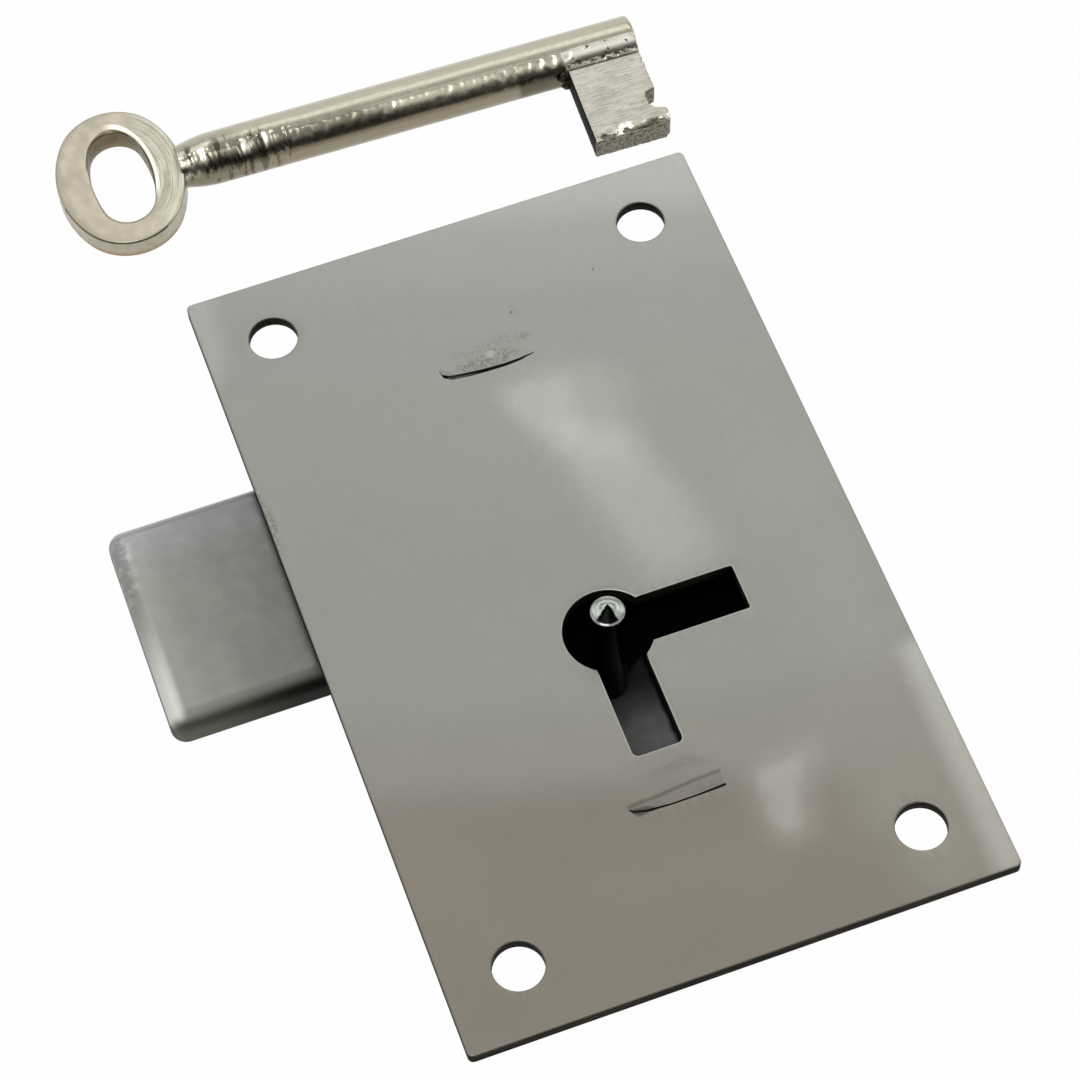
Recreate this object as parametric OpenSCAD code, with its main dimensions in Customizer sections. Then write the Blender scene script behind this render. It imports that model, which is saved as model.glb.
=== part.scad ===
// Surface-mounted wardrobe door lock with a flat thrown bolt, three pivoted levers
// and a pipe key that lies beside it.
// The origin is the centre of the plate's mounting face, +Z is that face's outward normal,
// X runs along the short edges and the bolt is thrown towards -X.

/* [Plate] */
// Width of the plate, along the short edge
plate_w = 47; // [46:0.5:52]
// Height of the plate, along the long edge
plate_h = 76; // [70:1:90]
// Thickness of the plate
plate_t = 1.2; // [1:0.1:1.6]
// Radius of the plate's corners
plate_corner_r = 0.5; // [0.3:0.1:2]
// Diameter of the four screw holes
screw_hole_d = 4.3; // [3.5:0.1:5]
// Distance of a screw hole's centre from the long edge
screw_edge_x = 6.25; // [5:0.25:8]
// Distance of a screw hole's centre from the short edge
screw_edge_y = 6; // [5:0.25:8]

/* [Keyhole] */
// Height of the key's axis on the plate, below the middle
key_axis_y = -6.1; // [-7:0.1:-5.6]
// Diameter of the round part of the keyhole
keyhole_d = 7.7; // [6.6:0.1:8.4]
// Width of the keyhole's two slots
keyhole_slot_w = 4.3; // [4.1:0.1:4.6]
// Distance from the key's axis to the end of each slot
keyhole_slot_reach = 11.85; // [11.4:0.05:12.5]
// Corner radius at the end of each slot
keyhole_corner_r = 0.5; // [0.2:0.1:1]

/* [Case] */
// Outside width of the folded case
case_w = 43; // [42:0.5:45]
// Outside height of the folded case
case_h = 46.4; // [46:0.2:52]
// Thickness of the case's sheet
case_t = 1.2; // [1:0.1:1.4]
// Depth inside the case, from the plate to the case's floor
case_depth = 8.3; // [8.2:0.1:10]
// How far the case sits above the plate's middle
case_offset_y = 0.25; // [-0.5:0.05:0.5]
// Outside bend radius along the case's edges
case_bend_r = 1.4; // [1:0.1:2]
// Width of the two tabs that are staked through the plate
tab_w = 8.6; // [6:0.2:12]
// Side clearance of a tab in its slot
tab_gap = 0.08; // [0.05:0.01:0.2]
// Widest part of the curved gap that staking leaves below each tab
stake_gap = 0.4; // [0.2:0.05:0.6]

/* [Bolt] */
// Width of the bolt
bolt_w = 20.5; // [19:0.1:21]
// Thickness of the bolt
bolt_t = 3; // [2.6:0.1:3.2]
// How far the thrown bolt stands out past the plate's edge
bolt_reach = 13.35; // [13.05:0.05:15]
// Travel of the bolt
bolt_throw = 13; // [11:0.25:13]
// Height of the bolt's middle on the plate
bolt_mid_y = 8.85; // [8.6:0.05:9.6]
// Clearance between the bolt and the plate
bolt_gap = 0.3; // [0.2:0.05:0.4]
// Clearance around the bolt in the case's mouth
bolt_side_gap = 0.25; // [0.15:0.05:0.4]
// Clearance between the drawn bolt's tail and the case's wall
bolt_tail_gap = 0.8; // [0.5:0.1:1.5]
// Rounding of the bolt's long and end edges
bolt_edge_r = 1.2; // [0.4:0.1:1.3]
// Radius of the bolt's two outer corners, seen from the front
bolt_corner_r = 1.4; // [0.8:0.1:3]
// Diameter of the stud that guides the bolt's tail
guide_stud_d = 3.8; // [3:0.1:4.2]
// Clearance around the guide stud in the bolt's slot
guide_gap = 0.1; // [0.05:0.01:0.1]
// Metal left in the tail beside the guide slot
guide_web = 2; // [1.5:0.1:2.5]
// Diameter of the stump that passes through the levers
stump_d = 3; // [2.4:0.1:3.2]
// Diameter of the stump's tenon in the bolt
stump_tenon_d = 2; // [1.4:0.1:2.2]
// Distance of the stump behind the plate's edge when the bolt is thrown
stump_inset = 12.5; // [12:0.1:13]
// Height of the stump on the plate
stump_y = 9; // [8.8:0.1:9.4]

/* [Levers] */
// Thickness of a lever
lever_t = 1.15; // [0.9:0.05:1.2]
// Thickness of the washers between the levers
washer_t = 0.25; // [0.15:0.05:0.3]
// Diameter of the washers
washer_d = 7.4; // [6:0.2:8]
// Free play between a lever and a washer
stack_gap = 0.05; // [0.04:0.01:0.06]
// Diameter of the levers' pivot
pivot_d = 4; // [3.4:0.1:4.4]
// Running clearance of a lever on its pivot, on the radius
pivot_gap = 0.05; // [0.02:0.01:0.08]
// Diameter of a lever's eye
lever_eye_d = 8.4; // [7.6:0.2:8.8]
// Height of the pivot on the plate
pivot_y = 10; // [9.5:0.1:10.5]
// Height of the levers' top edge
lever_top_y = 15.2; // [14.8:0.1:15.6]
// Height of the levers' lower edge
lever_low_y = 2.4; // [2:0.1:3]
// Drop of the first lever from key height, in degrees
lever_1_drop = 4; // [3:0.1:4.8]
// Drop of the second lever from key height, in degrees
lever_2_drop = 3.4; // [3:0.1:4.8]
// Drop of the third lever from key height, in degrees
lever_3_drop = 4.6; // [3:0.1:4.8]
// Lift above key height that each lever still allows, in degrees
lever_over = 2; // [1:0.1:2.4]
// Clearance between the stump and a lever's gate
gate_gap = 0.3; // [0.2:0.05:0.4]
// Thickness of a lever spring's strip
spring_t = 0.3; // [0.2:0.05:0.4]
// Width of a lever spring's strip
spring_w = 0.8; // [0.6:0.05:0.9]
// Bend radius of a lever spring
spring_bend_r = 17; // [14:0.5:24]
// Diameter of the post that holds the springs
spring_post_d = 2.6; // [2.2:0.1:3]
// Diameter of the post that the dropped levers rest on
stop_post_d = 3; // [2:0.1:3.4]

/* [Drill pin and ward] */
// Diameter of the drill pin
drill_pin_d = 3; // [2.6:0.1:3.2]
// How far the pin's round wall stands out of the plate's face
drill_pin_proud = 3.2; // [1:0.1:5]
// Height of the pin's pointed tip
drill_pin_tip = 0.7; // [0.4:0.1:1.2]
// Height of the ward above the case's floor
ward_h = 0.7; // [0.4:0.1:0.8]
// Clearance between the ward and the key bit's notch
ward_gap = 0.35; // [0.2:0.05:0.5]
// Angle that the ward covers, on the side away from the keyhole's slots, in degrees
ward_angle = 230; // [160:5:235]

/* [Key] */
// Length of the key over all
key_length = 56.3; // [50:0.1:62]
// Diameter of the key's shank
shank_d = 5; // [4.6:0.1:5.6]
// Clearance of the drill pin in the shank's bore, on the diameter
key_bore_gap = 0.3; // [0.2:0.05:0.5]
// Length of the shank's neck, which narrows towards the bow
neck_length = 3.6; // [1:0.2:6]
// Diameter of the shank where it meets the bow
neck_d = 4; // [3.4:0.1:4.5]
// Depth of the bore in the shank
key_bore_depth = 17; // [14:0.5:22]
// Radius from the shank's axis to the bit's outer edge
bit_reach = 10.7; // [10:0.05:10.9]
// Length of the bit along the shank
bit_length = 7.2; // [6.6:0.1:7.5]
// Thickness of the bit
bit_t = 2.6; // [2.4:0.1:3]
// How far the bit's toe, beyond the ward notch, stands past the shank's tip
bit_toe = 0.4; // [0.1:0.1:0.6]
// Droop of the bit's outer edge towards the table, in degrees
bit_droop = 4; // [0:0.5:5]
// Radius at which the bit's ward notch starts
notch_in_r = 6.6; // [6:0.1:7]
// Radius at which the bit's ward notch ends
notch_out_r = 8.9; // [8.4:0.1:9.4]
// Depth of the ward notch
notch_depth = 1.1; // [1:0.1:1.6]
// Length of the bow along the shank
bow_length = 11.9; // [10:0.1:14]
// Width of the bow across the shank
bow_width = 15.5; // [13:0.5:20]
// Thickness of the bow
bow_t = 2.3; // [2:0.1:3.4]
// Length of the bow's hole along the shank
bow_hole_length = 5.7; // [5:0.1:7]
// Width of the bow's hole across the shank
bow_hole_width = 10.4; // [8:0.1:11]
// Shift of the bow's hole towards the shank
bow_hole_shift = 0.1; // [0:0.05:0.4]
// How far the bow sits off the shank's line
bow_offset = 0; // [-1:0.1:1]
// Place of the key's tip, along X
key_tip_x = 26; // [20:0.1:32]
// Place of the key's tip, along Y
key_tip_y = 57.6; // [56:0.1:64]
// Turn of the key in the plane that it lies in, in degrees
key_turn = -1.8; // [-6:0.1:6]

/* [Hidden] */
$fn = 96;

// Overshoot that makes a cut pass a face
cut = 1;
// Heights of the main faces
plate_back_z = -plate_t;
floor_z = plate_back_z - case_depth;
case_back_z = floor_z - case_t;
// Inside of the case
case_in_x = case_w / 2 - case_t;
case_in_top = case_offset_y + case_h / 2 - case_t;
case_in_low = case_offset_y - case_h / 2 + case_t;
wall_mid_y = case_h / 2 - case_t / 2;
// Bolt
bolt_top_z = plate_back_z - bolt_gap;
bolt_low_z = bolt_top_z - bolt_t;
bolt_end_x = -plate_w / 2 - bolt_reach;
bolt_tail_x = case_in_x - bolt_tail_gap - bolt_throw;
bolt_top_y = bolt_mid_y + bolt_w / 2;
bolt_low_y = bolt_mid_y - bolt_w / 2;
guide_slot_r = guide_stud_d / 2 + guide_gap;
guide_x = bolt_tail_x - guide_web - guide_slot_r - guide_gap;
guide_y = bolt_top_y - guide_web - guide_slot_r;
tail_corner = 3;
// The bit swings this far from the key's axis, its corners included
sweep_r = norm([bit_reach, bit_t / 2]);
talon_gap = 0.25;
talon_top_y = key_axis_y + sweep_r + talon_gap;
talon_half = sqrt(pow(sweep_r, 2) - pow(bolt_low_y - key_axis_y, 2)) + bit_t / 2;
talon_x = -talon_half;
talon_w = 2 * talon_half - bolt_throw;
talon_corner_r = 0.8;
// Lever stack, from the case's floor towards the bolt
lever_pitch = lever_t + washer_t + 2 * stack_gap;
lever_count = 3;
stack_top_z = floor_z + lever_count * lever_pitch;
function washer_z(i) = floor_z + (i - 1) * lever_pitch;
function lever_z(i) = washer_z(i) + washer_t + stack_gap;
lever_drops = [lever_1_drop, lever_2_drop, lever_3_drop];
stump_x = -plate_w / 2 + stump_inset;
stump_floor_gap = 0.2;
stump_low_z = floor_z + stump_floor_gap;
eye_wall_gap = 0.6;
pivot_x = case_in_x - eye_wall_gap - lever_eye_d / 2;
pivot_over = 0.2;
lever_nose_gap = 0.3;
lever_chamfer = 2;
belly_gap = 0.05;
slot_r = stump_d / 2 + gate_gap;
pocket_gap_x = 0.4;
stop_top_y = 0.1;
stop_y = stop_top_y - stop_post_d / 2;
stop_gap = 0.2;
foot_w = 6.5;
post_tenon_share = 0.62;
// Springs: their post stands in the case's upper left corner, with the levers' ends beside it
spring_post_gap_x = 0.9;
spring_post_gap_y = 1.1;
spring_reach = 14;
spring_post_x = -case_in_x + spring_post_gap_x + spring_post_d / 2;
spring_post_y = case_in_top - spring_post_gap_y - spring_post_d / 2;
lever_end_x = spring_post_x + spring_post_d / 2 + lever_nose_gap;
stop_x = lever_end_x + stop_post_d / 2;
spring_tip_x = spring_post_x + spring_reach;
spring_tip_gap = 0.18;
spring_slit_gap = 0.06;
// Drill pin, whose tip is cut a little blunt
pin_tip_d = 0.3;
// Key
key_z = case_back_z + shank_d / 2;
key_bore_r = (drill_pin_d + key_bore_gap) / 2;
bow_flat = 0.35;
bow_x = bow_length / 2 - key_length;
neck_start = key_length - bow_length + bow_flat - neck_length;
tip_chamfer = 0.35;

// Rectangle with rounded corners, centred on the origin
module round_rect(w, h, r) {
    square([w - 2 * r, h], center = true);
    square([w, h - 2 * r], center = true);
    for (x = [-1, 1])
        for (y = [-1, 1])
            translate([x * (w / 2 - r), y * (h / 2 - r)])
                circle(r = r);
}

// Oval of four tangent arcs, half as long as a and half as wide as b, with b the larger
module oval(a, b) {
    end_share = 0.88;
    end_r = end_share * a;
    end_y = b - end_r;
    side_r = (a * a + end_y * end_y - end_r * end_r) / (2 * (a - end_r));
    join_y = side_r * end_y / (side_r - end_r);
    intersection() {
        translate([a - side_r, 0])
            circle(r = side_r);
        translate([side_r - a, 0])
            circle(r = side_r);
        square([2 * a + cut, 2 * join_y], center = true);
    }
    for (side = [-1, 1])
        translate([0, side * end_y])
            circle(r = end_r);
}

// Strip of thickness t along an arc of radius r from a to b, bulging to the left of a to b
module arc_strip(a, b, r, t) {
    chord = b - a;
    half = norm(chord) / 2;
    drop = sqrt(r * r - half * half);
    middle = (a + b) / 2 + drop * [chord[1], -chord[0]] / (2 * half);
    reach = 1.6;
    intersection() {
        translate(middle)
            difference() {
                circle(r = r + t / 2);
                circle(r = r - t / 2);
            }
        polygon([middle, middle + reach * (a - middle), middle + reach * (b - middle)]);
    }
}

// Round keyhole with one slot towards +X and one towards -Y
module keyhole_outline() {
    circle(d = keyhole_d);
    for (turn = [0, -90])
        rotate(turn)
            translate([keyhole_slot_reach / 2, 0])
                round_rect(keyhole_slot_reach, keyhole_slot_w, keyhole_corner_r);
}

// Slot for a staked tab, with the curved gap on its lower side
module tab_slot_outline() {
    half = tab_w / 2 + tab_gap;
    thick = case_t + 2 * tab_gap;
    bulge_r = (half * half + stake_gap * stake_gap) / (2 * stake_gap);
    square([2 * half, thick], center = true);
    intersection() {
        translate([0, -thick / 2 - stake_gap + bulge_r])
            circle(r = bulge_r, $fn = 360);
        translate([-half, -thick / 2 - stake_gap])
            square([2 * half, stake_gap + cut / 4]);
    }
}

module lock_plate() {
    color([0.62, 0.62, 0.59])
        translate([0, 0, -plate_t])
            difference() {
                linear_extrude(plate_t)
                    round_rect(plate_w, plate_h, plate_corner_r);
                for (x = [-1, 1])
                    for (y = [-1, 1])
                        translate([x * (plate_w / 2 - screw_edge_x), y * (plate_h / 2 - screw_edge_y), -cut])
                            cylinder(d = screw_hole_d, h = plate_t + 2 * cut);
                translate([0, key_axis_y, -cut])
                    linear_extrude(plate_t + 2 * cut)
                        keyhole_outline();
                for (side = [-1, 1])
                    translate([0, case_offset_y + side * wall_mid_y, -cut])
                        linear_extrude(plate_t + 2 * cut)
                            tab_slot_outline();
            }
}

// Block with rounded upright corners and rounded edges at its closed back
module case_block() {
    depth = case_depth + case_t;
    intersection() {
        linear_extrude(depth)
            round_rect(case_w, case_h, case_bend_r);
        rotate([90, 0, 0])
            linear_extrude(case_h + 2 * cut, center = true)
                bent_profile(case_w, depth);
        rotate([90, 0, 90])
            linear_extrude(case_w + 2 * cut, center = true)
                bent_profile(case_h, depth);
    }
}

// Upright rectangle whose two lower corners are rounded, for the case's bends
module bent_profile(w, h) {
    translate([-w / 2, case_bend_r])
        square([w, h - case_bend_r]);
    translate([case_bend_r - w / 2, 0])
        square([w - 2 * case_bend_r, h]);
    for (side = [-1, 1])
        translate([side * (w / 2 - case_bend_r), case_bend_r])
            circle(r = case_bend_r);
}

module case() {
    color([0.55, 0.55, 0.53])
        difference() {
            union() {
                translate([0, case_offset_y, case_back_z])
                    case_block();
                for (side = [-1, 1])
                    translate([-tab_w / 2, case_offset_y + side * wall_mid_y - case_t / 2, plate_back_z - cut])
                        cube([tab_w, case_t, plate_t + cut]);
            }
            translate([-case_in_x, case_in_low, floor_z])
                cube([2 * case_in_x, case_in_top - case_in_low, case_depth]);
            translate([-case_w, bolt_low_y - bolt_side_gap, bolt_low_z - bolt_side_gap])
                cube([case_w - case_in_x + case_t, bolt_w + 2 * bolt_side_gap, bolt_t + bolt_gap + bolt_side_gap]);
            tenon_hole([0, key_axis_y], drill_pin_d);
            tenon_hole([pivot_x, pivot_y], pivot_d);
            tenon_hole([spring_post_x, spring_post_y], spring_post_d);
            tenon_hole([stop_x, stop_y], stop_post_d);
        }
}

// Hole in the case's floor for a post's riveted tenon
module tenon_hole(place, post_d) {
    translate([place[0], place[1], case_back_z - cut])
        cylinder(d = post_tenon_share * post_d, h = case_t + 2 * cut);
}

// Post that stands on the case's floor with its tenon riveted flush behind
module floor_post(place, post_d, top_z) {
    translate([place[0], place[1], floor_z])
        cylinder(d = post_d, h = top_z - floor_z);
    translate([place[0], place[1], case_back_z])
        cylinder(d = post_tenon_share * post_d, h = case_t + cut / 2);
}

// Plan of the bolt: plain head, talon for the key, guide slot in the tail
module bolt_plan() {
    difference() {
        union() {
            translate([(bolt_end_x + bolt_tail_x) / 2, bolt_mid_y])
                round_rect(bolt_tail_x - bolt_end_x, bolt_w, bolt_corner_r);
            translate([bolt_tail_x - tail_corner, bolt_low_y])
                square(tail_corner);
        }
        translate([talon_x, bolt_low_y - cut])
            square([talon_w, talon_top_y - talon_corner_r - bolt_low_y + cut]);
        translate([talon_x + talon_corner_r, bolt_low_y - cut])
            square([talon_w - 2 * talon_corner_r, talon_top_y - bolt_low_y + cut]);
        for (x = [talon_corner_r, talon_w - talon_corner_r])
            translate([talon_x + x, talon_top_y - talon_corner_r])
                circle(r = talon_corner_r);
        for (x = [guide_x + guide_gap, guide_x - bolt_throw - guide_gap])
            translate([x, guide_y])
                circle(r = guide_slot_r);
        translate([guide_x - bolt_throw - guide_gap, guide_y - guide_slot_r])
            square([bolt_throw + 2 * guide_gap, 2 * guide_slot_r]);
    }
}

module bolt() {
    length = bolt_tail_x - bolt_end_x;
    color([0.52, 0.53, 0.5])
        difference() {
            intersection() {
                translate([0, 0, bolt_low_z])
                    linear_extrude(bolt_t)
                        bolt_plan();
                translate([bolt_end_x, bolt_mid_y, bolt_low_z + bolt_t / 2])
                    rotate([90, 0, 90])
                        linear_extrude(length)
                            round_rect(bolt_w, bolt_t, bolt_edge_r);
                translate([bolt_end_x + length / 2 + cut, bolt_mid_y, bolt_low_z + bolt_t / 2])
                    rotate([90, 0, 0])
                        linear_extrude(bolt_w, center = true)
                            round_rect(length + 2 * cut, bolt_t, bolt_edge_r);
            }
            translate([stump_x, stump_y, bolt_low_z - cut])
                cylinder(d = stump_tenon_d, h = bolt_t + 2 * cut);
        }
}

module bolt_stump() {
    color([0.6, 0.6, 0.58])
        translate([stump_x, stump_y, 0]) {
            translate([0, 0, stump_low_z])
                cylinder(d = stump_d, h = bolt_low_z - stump_low_z);
            translate([0, 0, bolt_low_z - cut])
                cylinder(d = stump_tenon_d, h = bolt_t + cut);
        }
}

module bolt_guide_stud() {
    color([0.6, 0.6, 0.58])
        translate([guide_x, guide_y, bolt_low_z])
            cylinder(d = guide_stud_d, h = plate_back_z - bolt_low_z);
}

module drill_pin() {
    color([0.75, 0.75, 0.75]) {
        floor_post([0, key_axis_y], drill_pin_d, drill_pin_proud);
        translate([0, key_axis_y, drill_pin_proud])
            cylinder(d1 = drill_pin_d, d2 = pin_tip_d, h = drill_pin_tip);
    }
}

// Raised ring on the case's floor that only a notched bit passes
module ward() {
    half_gap = (360 - ward_angle) / 2;
    wedge = 2 * notch_out_r;
    color([0.5, 0.5, 0.48])
        translate([0, key_axis_y, floor_z])
            linear_extrude(ward_h)
                rotate(-45)
                    difference() {
                        circle(r = notch_out_r - ward_gap);
                        circle(r = notch_in_r + ward_gap);
                        polygon([
                            [0, 0],
                            [wedge * cos(half_gap), -wedge * sin(half_gap)],
                            [2 * wedge, 0],
                            [wedge * cos(half_gap), wedge * sin(half_gap)]
                        ]);
                    }
}

module lever_pivot() {
    color([0.6, 0.6, 0.58])
        floor_post([pivot_x, pivot_y], pivot_d, stack_top_z + pivot_over);
}

module pivot_washers() {
    color([0.75, 0.62, 0.35])
        for (i = [1 : lever_count])
            translate([pivot_x, pivot_y, washer_z(i)])
                difference() {
                    cylinder(d = washer_d, h = washer_t);
                    translate([0, 0, -cut])
                        cylinder(d = pivot_d, h = washer_t + 2 * cut);
                }
}

// Window of a lever at key height: a pocket for the thrown stump, one for the drawn stump
// and the narrow gate between them
module lever_window(drop) {
    for (x = [stump_x, stump_x + bolt_throw]) {
        arm = pivot_x - x;
        up = arm * sin(drop) + slot_r;
        down = arm * sin(lever_over) + slot_r;
        half = stump_d / 2 + pocket_gap_x;
        translate([x - half, stump_y - down])
            square([2 * half, up + down]);
    }
    translate([stump_x, stump_y - slot_r])
        square([bolt_throw, 2 * slot_r]);
}

// Outline of a lever at key height, its belly concentric with the swept bit
module lever_outline(drop) {
    foot_y = stop_y + stop_post_d / 2 + stop_gap + (pivot_x - stop_x) * sin(drop);
    difference() {
        union() {
            translate([pivot_x, pivot_y])
                circle(d = lever_eye_d);
            polygon([
                [lever_end_x, foot_y],
                [lever_end_x + foot_w, foot_y],
                [lever_end_x + foot_w, lever_low_y],
                [pivot_x - lever_eye_d, lever_low_y],
                [pivot_x, pivot_y - lever_eye_d / 2],
                [pivot_x, pivot_y + lever_eye_d / 2],
                [pivot_x - lever_eye_d, lever_top_y],
                [lever_end_x + lever_chamfer, lever_top_y],
                [lever_end_x, lever_top_y - lever_chamfer]
            ]);
        }
        translate([0, key_axis_y])
            circle(r = sweep_r + belly_gap);
        translate([pivot_x, pivot_y])
            circle(r = pivot_d / 2 + pivot_gap);
        lever_window(drop);
    }
}

module lever(i) {
    color([0.78, 0.65, 0.38])
        translate([0, 0, lever_z(i)])
            linear_extrude(lever_t)
                lever_outline(lever_drops[i - 1]);
}

module lever_1() {
    lever(1);
}

module lever_2() {
    lever(2);
}

module lever_3() {
    lever(3);
}

// Bent strip from the spring post to a lever's top edge
module spring_strip(t) {
    post = [spring_post_x, spring_post_y];
    tip = [spring_tip_x, lever_top_y + spring_tip_gap + spring_t / 2];
    arc_strip(post, tip, spring_bend_r, t);
}

module lever_spring(i) {
    color([0.8, 0.68, 0.4])
        translate([0, 0, lever_z(i) + (lever_t - spring_w) / 2])
            linear_extrude(spring_w)
                spring_strip(spring_t);
}

module lever_spring_1() {
    lever_spring(1);
}

module lever_spring_2() {
    lever_spring(2);
}

module lever_spring_3() {
    lever_spring(3);
}

module spring_post() {
    color([0.6, 0.6, 0.58])
        difference() {
            floor_post([spring_post_x, spring_post_y], spring_post_d, stack_top_z);
            translate([0, 0, floor_z + washer_t])
                linear_extrude(case_depth)
                    spring_strip(spring_t + spring_slit_gap);
        }
}

module lever_stop_post() {
    color([0.6, 0.6, 0.58])
        floor_post([stop_x, stop_y], stop_post_d, stack_top_z);
}

// Puts a key piece where the key lies: its tip is the origin and its shank runs towards -X
module key_place() {
    translate([key_tip_x, key_tip_y, key_z])
        rotate([0, 0, key_turn])
            children();
}

module key_bow() {
    color([0.78, 0.76, 0.68])
        key_place()
            translate([bow_x, bow_offset, -bow_t / 2])
                linear_extrude(bow_t)
                    difference() {
                        oval(bow_length / 2, bow_width / 2);
                        translate([bow_hole_shift, 0])
                            oval(bow_hole_length / 2, bow_hole_width / 2);
                        translate([bow_length / 2 - bow_flat, -bow_width / 2])
                            square([bow_flat + cut, bow_width]);
                    }
}

module key_shank() {
    color([0.76, 0.74, 0.66])
        key_place()
            rotate([0, -90, 0])
                difference() {
                    union() {
                        cylinder(d1 = shank_d - 2 * tip_chamfer, d2 = shank_d, h = tip_chamfer);
                        translate([0, 0, tip_chamfer])
                            cylinder(d = shank_d, h = neck_start - tip_chamfer);
                        translate([0, 0, neck_start])
                            cylinder(d1 = shank_d, d2 = neck_d, h = neck_length);
                    }
                    translate([0, 0, -cut])
                        cylinder(r = key_bore_r, h = key_bore_depth + cut);
                }
}

// Face of the bit with the ward notch and the toe beyond it
module bit_outline() {
    difference() {
        translate([-bit_length, -bit_reach])
            square([bit_length + bit_toe, bit_reach]);
        translate([-notch_depth, -notch_out_r])
            square([notch_depth + cut, notch_out_r - notch_in_r]);
        translate([0, -notch_in_r - cut])
            square([cut, notch_in_r + 2 * cut]);
    }
}

module key_bit() {
    color([0.78, 0.76, 0.7])
        key_place()
            difference() {
                rotate([bit_droop, 0, 0])
                    linear_extrude(bit_t, center = true)
                        bit_outline();
                rotate([0, 90, 0])
                    cylinder(d = shank_d, h = 3 * bit_length, center = true);
            }
}

lock_plate();
case();
bolt();
bolt_stump();
bolt_guide_stud();
drill_pin();
ward();
lever_pivot();
pivot_washers();
lever_1();
lever_2();
lever_3();
lever_spring_1();
lever_spring_2();
lever_spring_3();
spring_post();
lever_stop_post();
key_bow();
key_shank();
key_bit();
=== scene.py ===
# %% [markdown]
# # A wardrobe door lock and its key
# This lesson dresses a lock for its photograph. The exact solids were made first, so every piece
# here starts from their places, and nothing has to be fitted by eye. The first cell brings them in.
# It also keeps the box that they fill, because the pieces that we make must stay inside it. It also
# keeps the box that they fill, whose lowest point gives the height of the table.

# %% Bring in the exact lock
import math

import bpy
import numpy as np
from mathutils import Matrix, Vector, noise
from mathutils.geometry import delaunay_2d_cdt


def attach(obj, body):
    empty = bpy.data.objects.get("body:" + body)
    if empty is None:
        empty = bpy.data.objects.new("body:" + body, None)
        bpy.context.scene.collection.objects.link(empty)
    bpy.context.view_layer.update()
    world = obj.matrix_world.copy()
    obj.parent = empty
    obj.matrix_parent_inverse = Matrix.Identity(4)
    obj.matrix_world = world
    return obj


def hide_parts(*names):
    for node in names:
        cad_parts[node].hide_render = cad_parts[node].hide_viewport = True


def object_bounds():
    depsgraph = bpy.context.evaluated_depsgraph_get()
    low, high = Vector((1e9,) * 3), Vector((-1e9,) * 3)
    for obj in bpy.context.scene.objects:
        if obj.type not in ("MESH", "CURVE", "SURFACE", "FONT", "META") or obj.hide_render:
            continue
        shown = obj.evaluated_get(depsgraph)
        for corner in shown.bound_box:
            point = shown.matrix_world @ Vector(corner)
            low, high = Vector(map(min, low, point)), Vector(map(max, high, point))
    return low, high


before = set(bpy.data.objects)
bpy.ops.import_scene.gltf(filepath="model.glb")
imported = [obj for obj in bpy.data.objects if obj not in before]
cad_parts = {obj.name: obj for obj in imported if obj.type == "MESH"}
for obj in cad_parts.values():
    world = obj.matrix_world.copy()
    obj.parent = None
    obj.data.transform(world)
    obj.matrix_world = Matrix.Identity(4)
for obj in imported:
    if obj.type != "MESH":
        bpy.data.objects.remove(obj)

cad_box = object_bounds()
MM = 0.001


def in_mm(box):
    return [[round(v / MM, 2) for v in corner] for corner in box]


print("box in mm:", in_mm(cad_box))

# %% [markdown]
# ## The camera
# The photograph was taken from above the lock's lower left side with a long lens. The four
# corners and the four screw holes of the plate were enough to work out where the camera
# stood and how long its lens was. A camera object could be aimed with a Track To
# constraint, but three measured directions give the roll as well.

# %% Stand the camera where the photographer stood
def show(name, data):
    """Puts new data, such as a mesh or a lamp, into the scene as an object."""
    made = bpy.data.objects.new(name, data)
    bpy.context.scene.collection.objects.link(made)
    return made


CAMERA_PLACE = Vector((-45.72, -141.99, 257.61))
lens = bpy.data.cameras.new("long_lens")
lens.sensor_width = 36
lens.lens = 117.84
lens.clip_start, lens.clip_end = 0.01, 20
camera = show("photographer", lens)
to_right = Vector((0.9399, -0.3397, -0.0345)).normalized()
to_back = to_right.cross(Vector((0.3092, 0.8039, 0.5081))).normalized()
to_top = to_back.cross(to_right)
aim = Matrix((to_right, to_top, to_back)).transposed().to_4x4()
camera.matrix_world = Matrix.Translation(CAMERA_PLACE * MM) @ aim
bpy.context.scene.camera = camera
print("camera to lock:", round(camera.location.length, 3), "m, lens", lens.lens, "mm")

# %% [markdown]
# ## Nodes without much typing
# Every finish below is a small network of nodes. The first helper adds one node: an input
# that comes from another node becomes a link, and any other value is typed in. A Flow is
# what comes out of a node, and each of its methods adds the next node, so that a network
# reads like a sum from left to right. Drawing the networks in the editor would look nicer,
# but a script can be read, compared and run again.

# %% Add a node, and follow what comes out
def add(tree, kind, inputs=None, **settings):
    made = tree.nodes.new("ShaderNode" + kind)
    for name, value in settings.items():
        setattr(made, name, value)
    for name, value in (inputs or {}).items():
        if isinstance(value, (Flow, bpy.types.Node)):
            source = value.socket if isinstance(value, Flow) else value.outputs[0]
            tree.links.new(source, made.inputs[name])
        else:
            made.inputs[name].default_value = value
    return made


def full(colour):
    """A colour with its fourth number, or a Flow as it is."""
    return colour if isinstance(colour, Flow) else (*colour, 1)


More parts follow.
